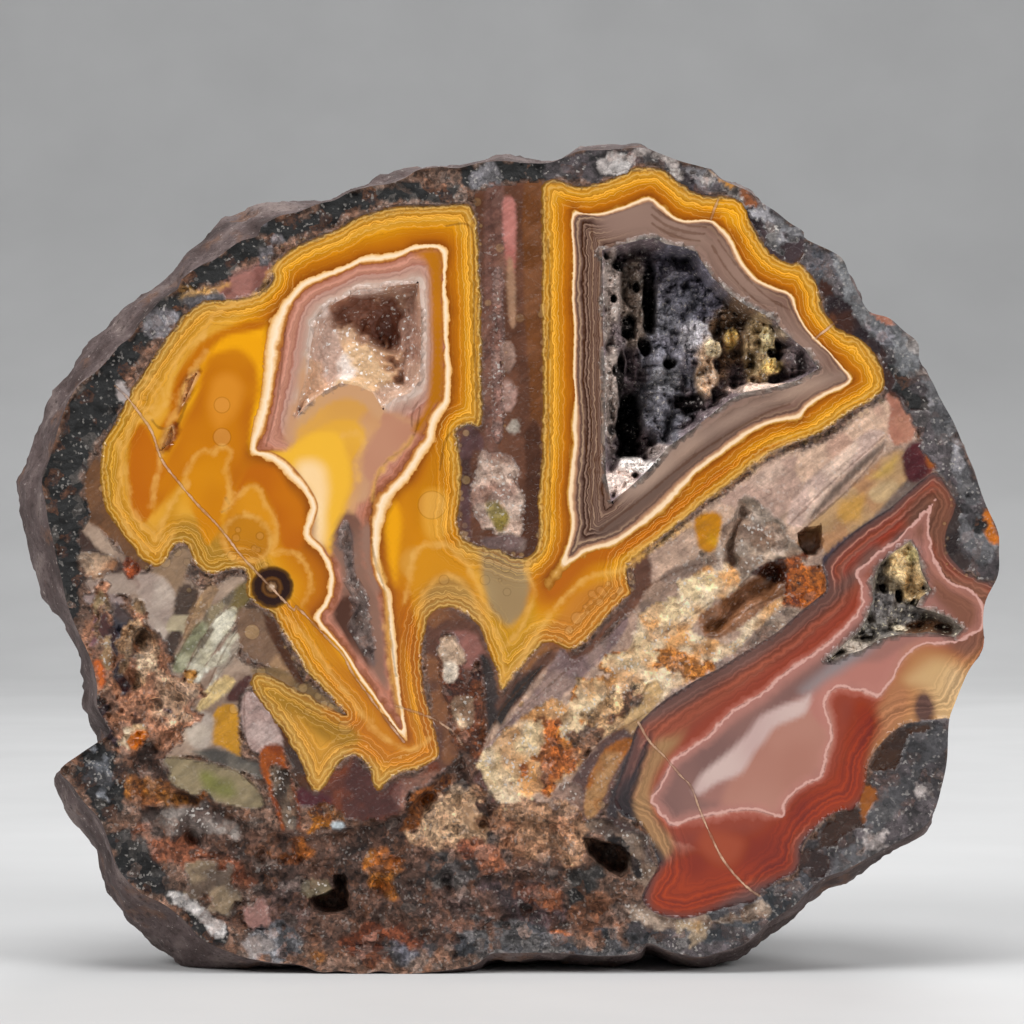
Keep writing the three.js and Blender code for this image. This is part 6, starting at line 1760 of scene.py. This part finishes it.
    def lay_lines(self, colour):
        """Dark and pale lines, round inclusions with a dark rim, and healed cracks."""
        wave = self.add(self.tiny, self.times(self.small, 0.4))
        dark = self.between(self.add(self.field("dark_line"), wave), -0.12, 0.06)
        colour = self.mix(self.times(dark, 0.45), colour, "4c2a12")
        pale = self.add(self.field("pale_line"), self.add(wave, self.times(self.small, 0.8)))
        strength = self.ramp(self.middling[2], [(0.35, 0.3), (0.6, 0.7)])
        colour = self.mix(self.times(self.between(pale, -0.5, 0.12), strength), colour, "e4ac58")
        orb = self.field("orb")
        filling = self.times(self.between(orb, -0.02, 0.16), self.times(self.field("orb_kind"), 0.3))
        colour = self.mix(filling, colour, "d8b074")
        rim = self.between(self.math("ABSOLUTE", orb), 0.09, 0.02)
        colour = self.mix(self.times(rim, 0.22), colour, "4a2c14")
        crack = self.add(self.add(self.field("veins"), self.tiny), self.times(self.small, 0.35))
        colour = self.mix(self.times(self.between(crack, 0.2, 0.1), 0.4), colour, "5c3418")
        strength = self.ramp(self.middling[2], [(0.38, 0.1), (0.52, 0.5), (0.62, 0.85)])
        return self.mix(self.times(self.between(crack, 0.11, 0.03), strength), colour, "dcb494")

    def lay_streaks(self, colour):
        """Streaks along the sticks, and clouds in the rough parts."""
        along = self.dot((0.13, 0.0, 0.1))
        across = self.dot((-0.6, 0.0, 0.8))
        drawn = self.node("CombineXYZ", {0: along, 1: across}).outputs[0]
        streaks = self.ramp(self.noise(0.7, 4.0, 0.65, drawn), [(0.32, 0.65), (0.5, 1.0), (0.68, 1.35)])
        colour = self.mix(self.attribute("texture", "Alpha"), colour, streaks, "MULTIPLY")
        clouds = self.ramp(self.middling[1], [(0.3, 0.6), (0.5, 1.0), (0.7, 1.4)])
        return self.mix(self.grit, colour, clouds, "MULTIPLY")

    def lay_chips(self, colour, chip, grain):
        """Rust, ash and shades of the chips and grains, crumbs, and white specks that are partly pale
        grains and partly painted glints.
        """
        rust = self.times(self.between(chip[1], 0.72, 0.78), self.times(self.coarse, 0.35))
        rust = self.times(rust, self.between(self.fine[2], 0.35, 0.55))
        colour = self.mix(rust, colour, "7e4c2c")
        ashen = self.times(self.between(chip[2], 0.8, 0.86), self.times(self.coarse, 0.2))
        colour = self.mix(ashen, colour, "988e86")
        for part, low, high in ((chip[0], 0.6, 1.35), (grain[0], 0.5, 1.45)):
            light = self.ramp(part, [(0.0, low), (1.0, high)])
            colour = self.mix(self.grit, colour, light, "MULTIPLY")
        colour = self.mix(self.grit, colour, self.ramp(self.fine[0], CRUMBS), "MULTIPLY")
        # White specks, partly pale grains and partly painted glints of light
        glint = self.split(self.cells(0.22))
        specks = self.times(self.between(glint[2], 0.88, 0.92), self.white)
        specks = self.times(specks, self.between(self.middling[2], 0.4, 0.58))
        return self.mix(self.times(specks, 0.85), colour, "dcd4cc")


def face_material(names):
    """The agates over the painted ground, then what lies over them all."""
    look = FaceLook(names)
    colour = look.attribute("ground")
    colour = look.lay_gold(colour)
    colour = look.lay_west_eye(colour)
    colour = look.lay_east_eye(colour)
    colour = look.lay_red_agate(colour)
    colour = look.lay_glaze(colour)
    colour = look.lay_layers(colour)
    colour = look.lay_lines(colour)
    colour = look.lay_streaks(colour)
    wobble = look.node("TexNoise", {"Vector": look.here, "Scale": 1 / 0.9, "Detail": 3.0}).outputs["Color"]
    inputs = {0: wobble, 1: (0.8, 0.8, 0.8), 2: look.here}
    bent = look.node("VectorMath", inputs, operation="MULTIPLY_ADD").outputs[0]
    chip = look.split(look.cells(1.2, at=bent))
    grain = look.split(look.cells(0.38, at=bent))
    colour = look.lay_chips(colour, chip, grain)
    colour = look.mix(1.0, colour, (VEIL, VEIL, VEIL, 0.0), "SUBTRACT", True)
    roughness = look.add(look.times(look.coarse, 0.5), POLISH)
    height = look.add(look.times(chip[0], 0.7), look.add(look.times(grain[1], 0.5), look.fine[0]))
    return look.finish(colour, roughness, look.times(height, look.coarse), 0.4)


def rind_material():
    """Rough outside: mauve-grey rock with pale flecks and brown hollows."""
    look = Look("rough_rind")
    broad = look.noise(7.0, 5.0, 0.6, warp=0.5)
    colour = look.ramp(broad, [(0.3, "342725"), (0.42, "4a3a37"), (0.52, "5e4e4c"), (0.64, "7e6e69")])
    hollows = look.times(look.between(look.noise(5.0, 4.0, 0.6), 0.56, 0.68), 0.6)
    colour = look.mix(hollows, colour, "74503a")
    grit = look.noise(0.6, 4.0, 0.7)
    colour = look.mix(look.between(grit, 0.48, 0.3), colour, "3c2e2a")
    colour = look.mix(look.times(look.between(grit, 0.6, 0.72), 0.6), colour, "c8bab2")
    height = look.add(look.noise(1.2, 5.0, 0.65), look.times(look.cells(1.6, "Distance"), 0.4))
    return look.finish(colour, 0.82, height, 0.5)


def crust_shape(outline, spacing, forms, relief_sizes, back):
    """A closed crust in a pocket: rough front over the outline, straight sides and a flat back."""
    border = curve_straight(moved(outline), spacing * 1.2)
    loose = grid(border.min(axis=0), border.max(axis=0), spacing)
    loose = loose[Places(loose).signed(border, 1.0) > 0.5 * spacing]
    flat, triangles = triangulated(border, loose)
    wall = Places(flat).distance(border, True, 4.0)
    depth, painted_front = formed(flat, wall, forms, len(forms), relief_sizes, back - 0.5)
    around = len(border)
    front = np.stack([flat[:, 0], FRONT + depth, flat[:, 1]], axis=1)
    rear = np.stack([flat[:around, 0], np.full(around, FRONT + back), flat[:around, 1]], axis=1)
    anticlockwise = loop_area(border) > 0
    behind = len(flat)
    faces = [tuple(triangle) for triangle in triangles]
    for i in range(around):
        j = (i + 1) % around
        side = (i, behind + i, behind + j, j)
        faces.append(side if anticlockwise else side[::-1])
    cap = tuple(range(behind, behind + around))
    faces.append(cap[::-1] if anticlockwise else cap)
    return np.concatenate([front, rear]), faces, painted_front


# Forms of each crust, back to front: column, row, half width and half height in tenths of a
# millimetre, depth in mm and colour. The first one is the ground of all. Near-black ones in the
# deepest holes are painted shade.
CAVITY_FORMS = [
    (700, 360, 400, 400, 7.6, "7d6d70"),
    (690, 268, 44, 30, 8.0, "625d67"), (738, 325, 44, 52, 6.0, "725944"),
    (673, 345, 34, 62, 6.1, "87838b"), (700, 300, 24, 26, 6.0, "706c77"), (664, 400, 30, 40, 6.1, "747279"),
    (664, 318, 17, 17, 5.9, "adabb2"), (688, 300, 14, 18, 5.9, "7b7982"), (698, 334, 17, 14, 4.6, "c2bdc0"),
    (655, 350, 14, 14, 6.0, "96949d"), (668, 378, 16, 14, 5.9, "b2b0b4"), (655, 405, 16, 16, 6.0, "848289"),
    (634, 300, 17, 50, 6.0, "87776b"),
    (708, 368, 11, 28, 3.4, "c0a082"), (714, 348, 8, 10, 2.6, "e8d4b0"), (712, 378, 5, 12, 2.8, "ccac90"),
    (734, 334, 7, 12, 4.2, "d2ad64"), (762, 348, 15, 34, 3.6, "a8906c"), (770, 336, 8, 16, 2.8, "e8d4a4"),
    (774, 366, 10, 8, 2.9, "d8bc78"), (774, 352, 4, 4, 5.0, "3c2e20"), (752, 364, 6, 10, 4.6, "695437"),
    (801, 358, 15, 16, 2.2, "675959"), (764, 389, 36, 6, 1.6, "d4b8a6"), (786, 330, 14, 10, 2.4, "8d7964"),
    (612, 300, 10, 64, 1.8, "928279"), (618, 348, 9, 30, 2.6, "7b6d6d"), (612, 400, 8, 60, 1.6, "8b7b72"),
    (651, 292, 6, 38, 9.5, "1a1618"), (631, 428, 13, 40, 11.5, "0c0a0a"), (622, 374, 4, 22, 8.0, "1e1816"),
    (690, 401, 17, 9, 8.5, "2c2424"), (672, 361, 6, 4, 8.0, "1c1818"), (646, 344, 6, 8, 9.0, "1c1818"),
    (620, 262, 7, 7, 5.0, "221c1a"), (629, 324, 8, 12, 8.0, "1c1816"), (614, 298, 3, 5, 4.0, "221c1a"),
    (616, 370, 3, 5, 4.0, "221c1a"), (638, 284, 3, 6, 8.0, "1e1a18"), (612, 430, 3, 5, 4.0, "221c1a"),
    (634, 466, 18, 10, 1.6, "dcd2cc"), (620, 481, 18, 15, 1.4, "d2bdb2"), (660, 452, 14, 8, 2.6, "9d8d87"),
]
DRUSE_FORMS = [
    (365, 340, 400, 400, 3.0, "b98f76"),
    # The darker browns of the deep upper hollow are partly the walls' own colour and partly painted shade
    (364, 314, 38, 20, 5.0, "a8745c"), (386, 324, 24, 26, 5.6, "94604a"), (384, 326, 9, 16, 6.2, "8a5844"),
    (411, 345, 13, 60, 2.6, "b08672"), (414, 380, 10, 22, 1.6, "c49e88"),
    (340, 346, 20, 24, 1.8, "c8a284"), (352, 372, 44, 36, 1.5, "d0a680"), (362, 372, 30, 30, 0.9, "d8b086"),
    (352, 403, 46, 14, 0.35, "c89c74"), (341, 366, 14, 12, 0.8, "f0ddd0"),
    (324, 350, 15, 42, 1.5, "c8a694"), (312, 392, 16, 30, 0.9, "c89c7c"), (392, 398, 18, 14, 1.2, "c8a48c"),
    (350, 290, 40, 5, 1.0, "d8bcae"), (322, 312, 8, 10, 1.0, "d8bcae"),
]
SMALL_FORMS = [
    (890, 610, 400, 400, 3.4, "746a60"),
    (904, 568, 14, 22, 1.8, "dcc090"), (912, 590, 12, 14, 2.2, "c8a878"), (894, 590, 12, 12, 2.6, "94846c"),
    (884, 606, 16, 16, 2.2, "807a78"), (905, 616, 20, 14, 2.4, "76706c"), (872, 630, 20, 9, 2.0, "8c8680"),
    (852, 646, 14, 6, 1.4, "a89a8c"), (926, 628, 22, 8, 2.4, "5c3c24"), (944, 630, 10, 5, 3.2, "38241a"),
    (902, 596, 4, 7, 4.6, "1e1814"), (918, 604, 5, 4, 4.4, "1e1814"), (886, 588, 4, 5, 4.4, "241c18"),
    (862, 632, 5, 4, 4.2, "1e1814"), (912, 556, 6, 8, 1.2, "e0cf98"), (900, 628, 8, 3, 1.4, "d8c8ac"),
]

# Relief of each crust in mm: width of the sloping lip, height of the lumps and of the crystals
DRUSE_RELIEF = (0.9, 0.14, 0.14)
CAVITY_RELIEF = (0.8, 2.0, 0.2)
SMALL_RELIEF = (0.6, 1.2, 0.25)
CRYSTAL_PITCH = 0.42
CRUST_TOP = 0.05
# Most strength of the painted shade and light on the crusts' lumps
MOST_PAINTED_SHADING = 0.9


def billows(spots, size, layers, seed):
    """Rounded lumps of several sizes from 0 to about 1, with sharp creases at 0 between them."""
    return sum(0.6 ** k * np.abs(noise(spots, size * 0.5 ** k, seed + k)) for k in range(layers))


def formed(flat, wall, forms, seed, relief_sizes, deepest):
    """Depth and colour of a crust, laid form over form, with crags, small crystals, painted shade in the
    creases and painted light on the lumps.
    """
    lip, bulge, grain = relief_sizes
    warp = 0.28 * noise(flat, 1.3, seed) + 0.14 * noise(flat, 0.5, seed + 1)
    depth = np.zeros(len(flat))
    colour = np.zeros((len(flat), 3))
    for column, row, wide, high, deep, code in forms:
        x, z = on_face([(column, row)])[0]
        away = np.hypot((flat[:, 0] - x) / wide, (flat[:, 1] - z) / high) * UNITS_PER_MM + warp
        share = ease(1.25, 0.75, away)
        depth += share * (deep - depth)
        colour = laid(colour, share, np.array(tint(code)[:3]))
    lump = billows(flat, 2.2, 4, seed + 2)
    grains, number = points_of_crystals(flat, CRYSTAL_PITCH, seed + 3)
    depth += bulge * (0.5 - lump) * (0.8 + 0.1 * depth) - grain * grains
    slope = ease(0.0, lip, wall + 0.25 * noise(flat, 0.9, seed + 4) * ease(0, 0.4, wall))
    # Painted shade darkens the creases between the lumps and painted light brightens their tops
    contrast = min(bulge, MOST_PAINTED_SHADING)
    painted_shade_and_light = 1 - contrast * 0.5 * ease(0.5, 0.1, lump)
    painted_shade_and_light *= 1 + 0.45 * contrast * ease(0.5, 1.0, lump)
    colour *= (painted_shade_and_light + 0.5 * grain * (number - 0.5))[:, None]
    return CRUST_TOP + slope * np.clip(depth, 0.3, deepest), np.clip(colour, 0, 1)


def crust_material(name, dark, gritty, bright, roughness):
    """Crystals whose colour comes from the mesh, with dark grains between and painted glints of light on
    some.
    """
    look = Look(name)
    colour = look.attribute("crust_colour")
    grit = look.channels(0.5, 3.0, 0.75)
    grain = look.split(look.cells(0.24))
    light = look.ramp(grain[0], [(0.0, 0.35), (0.6, 1.0), (1.0, 1.8)])
    colour = look.mix(gritty, colour, light, "MULTIPLY")
    colour = look.mix(look.times(look.between(grit[0], 0.46, 0.34), gritty), colour, dark)
    # Painted glints: tiny spots of the bright colour where crystals would catch the light
    painted_glints = look.times(look.between(grain[1], 0.9, 0.93), look.between(grit[1], 0.44, 0.54))
    colour = look.mix(look.times(painted_glints, 0.9), colour, bright)
    return look.finish(colour, roughness, look.add(grain[2], grit[0]), 0.08)


def build_crust(name, outline, spacing, forms, relief_sizes, pocket, material):
    """One crust, whose back ends a little before the bottom of its pocket."""
    back = pocket - CRUST_BACK_GAP
    points, faces, painted_front = crust_shape(outline, spacing, forms, relief_sizes, back)
    crust = make_object(name, points, faces, None, [material])
    colour = np.ones((len(points), 4))
    front = len(painted_front)
    colour[:front, :3] = painted_front
    colour[front:, :3] = painted_front[:len(points) - front]
    store_colour(crust.data, "crust_colour", colour)
    crust.data.shade_flat()
    return crust


stone = build_stone()
# Each crust material: colour of dark grit, share of grit, colour of its painted glints, roughness
druse = build_crust(
    "druse_crust_look", DRUSE_OUTLINE, 0.14, DRUSE_FORMS, DRUSE_RELIEF, DRUSE_POCKET,
    crust_material("sparkling_druse_look", "6a4434", 0.18, "fffaf4", 0.28))
cavity = build_crust(
    "cavity_crust_look", CAVITY_OUTLINE, 0.15, CAVITY_FORMS, CAVITY_RELIEF, CAVITY_POCKET,
    crust_material("dark_crust_look", "1c1816", 0.6, "e4dcd4", 0.45))
small = build_crust(
    "small_vug_crust_look", SMALL_OUTLINE, 0.13, SMALL_FORMS, SMALL_RELIEF, SMALL_POCKET,
    crust_material("cream_crust_look", "3a2c20", 0.5, "f0e4c8", 0.45))

for piece, node, slot in (
    (stone, "agate_stone", "banded_agate"),
    (druse, "druse_crust", "sparkling_druse"),
    (cavity, "cavity_crust", "dark_crust"),
    (small, "small_vug_crust", "cream_crust"),
):
    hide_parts(node)
    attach(piece, "root")


# Floor that curves up into a backdrop
STAGE_WIDTH = 3.0
STAGE_NEAR = -1.2
STAGE_FAR = 1.0
STAGE_CURVE = 0.4
STAGE_HEIGHT = 1.6


def build_stage():
    """The plain stage under and behind the stone."""
    turns = np.linspace(0, math.pi / 2, 16)
    line = [(STAGE_NEAR, 0.0), (STAGE_FAR - STAGE_CURVE, 0.0)]
    line += [(STAGE_FAR - STAGE_CURVE + STAGE_CURVE * math.sin(t), STAGE_CURVE * (1 - math.cos(t)))
             for t in turns[1:]]
    line.append((STAGE_FAR, STAGE_HEIGHT))
    points = [(side * STAGE_WIDTH / 2 / MM, y / MM, z / MM) for y, z in line for side in (-1, 1)]
    faces = [(2 * i, 2 * i + 1, 2 * i + 3, 2 * i + 2) for i in range(len(line) - 1)]
    look = Look("stage_paper")
    grain = look.ramp(look.noise(40.0, 3.0), [(0.3, 0.56), (0.7, 0.6)])
    floor = make_object("floor_and_backdrop", points, faces, None, [look.finish(grain, 0.9)])
    floor.data.shade_smooth()


build_stage()


def area_light(name, place, aim, size, power):
    """A round soft light that looks from a place to its aim, in metres and watts."""
    data = bpy.data.lights.new(name, "AREA")
    data.shape = "DISK"
    data.size = size
    data.energy = power
    lamp = bpy.data.objects.new(name, data)
    bpy.context.scene.collection.objects.link(lamp)
    lamp.location = place
    lamp.rotation_euler = (Vector(aim) - Vector(place)).to_track_quat("-Z", "Y").to_euler()


AIM = (0.0, -0.019, 0.04)
area_light("soft_left", (-0.55, -0.45, 0.55), AIM, 0.4, 4.0)
area_light("soft_right", (0.55, -0.5, 0.45), AIM, 0.4, 3.3)
area_light("soft_top", (0.0, -0.15, 0.8), AIM, 0.5, 3.6)
area_light("soft_back", (0.15, 0.55, 0.5), AIM, 0.4, 2.0)

world = bpy.data.worlds.new("studio")
world.use_nodes = True
world.node_tree.nodes["Background"].inputs["Color"].default_value = (0.8, 0.82, 0.85, 1.0)
world.node_tree.nodes["Background"].inputs["Strength"].default_value = 0.2
bpy.context.scene.world = world
bpy.context.scene.view_settings.view_transform = "Standard"

# The camera stands level in front of the face, so that a tenth of a millimetre is one picture point
LENS = 135.0
SENSOR = 36.0
PICTURE_WIDTH = 1024
PICTURE_MIDDLE = 512
distance = PICTURE_WIDTH / UNITS_PER_MM * LENS / SENSOR
eye_x, eye_z = on_face([(PICTURE_MIDDLE, PICTURE_MIDDLE)])[0]
camera_data = bpy.data.cameras.new("camera")
camera_data.lens = LENS
camera_data.sensor_width = SENSOR
camera_data.clip_start = 0.01
camera_data.clip_end = 20.0
camera = bpy.data.objects.new("camera", camera_data)
bpy.context.scene.collection.objects.link(camera)
camera.location = (eye_x * MM, (FRONT - distance) * MM, eye_z * MM)
camera.rotation_euler = (math.pi / 2, 0.0, 0.0)
bpy.context.scene.camera = camera
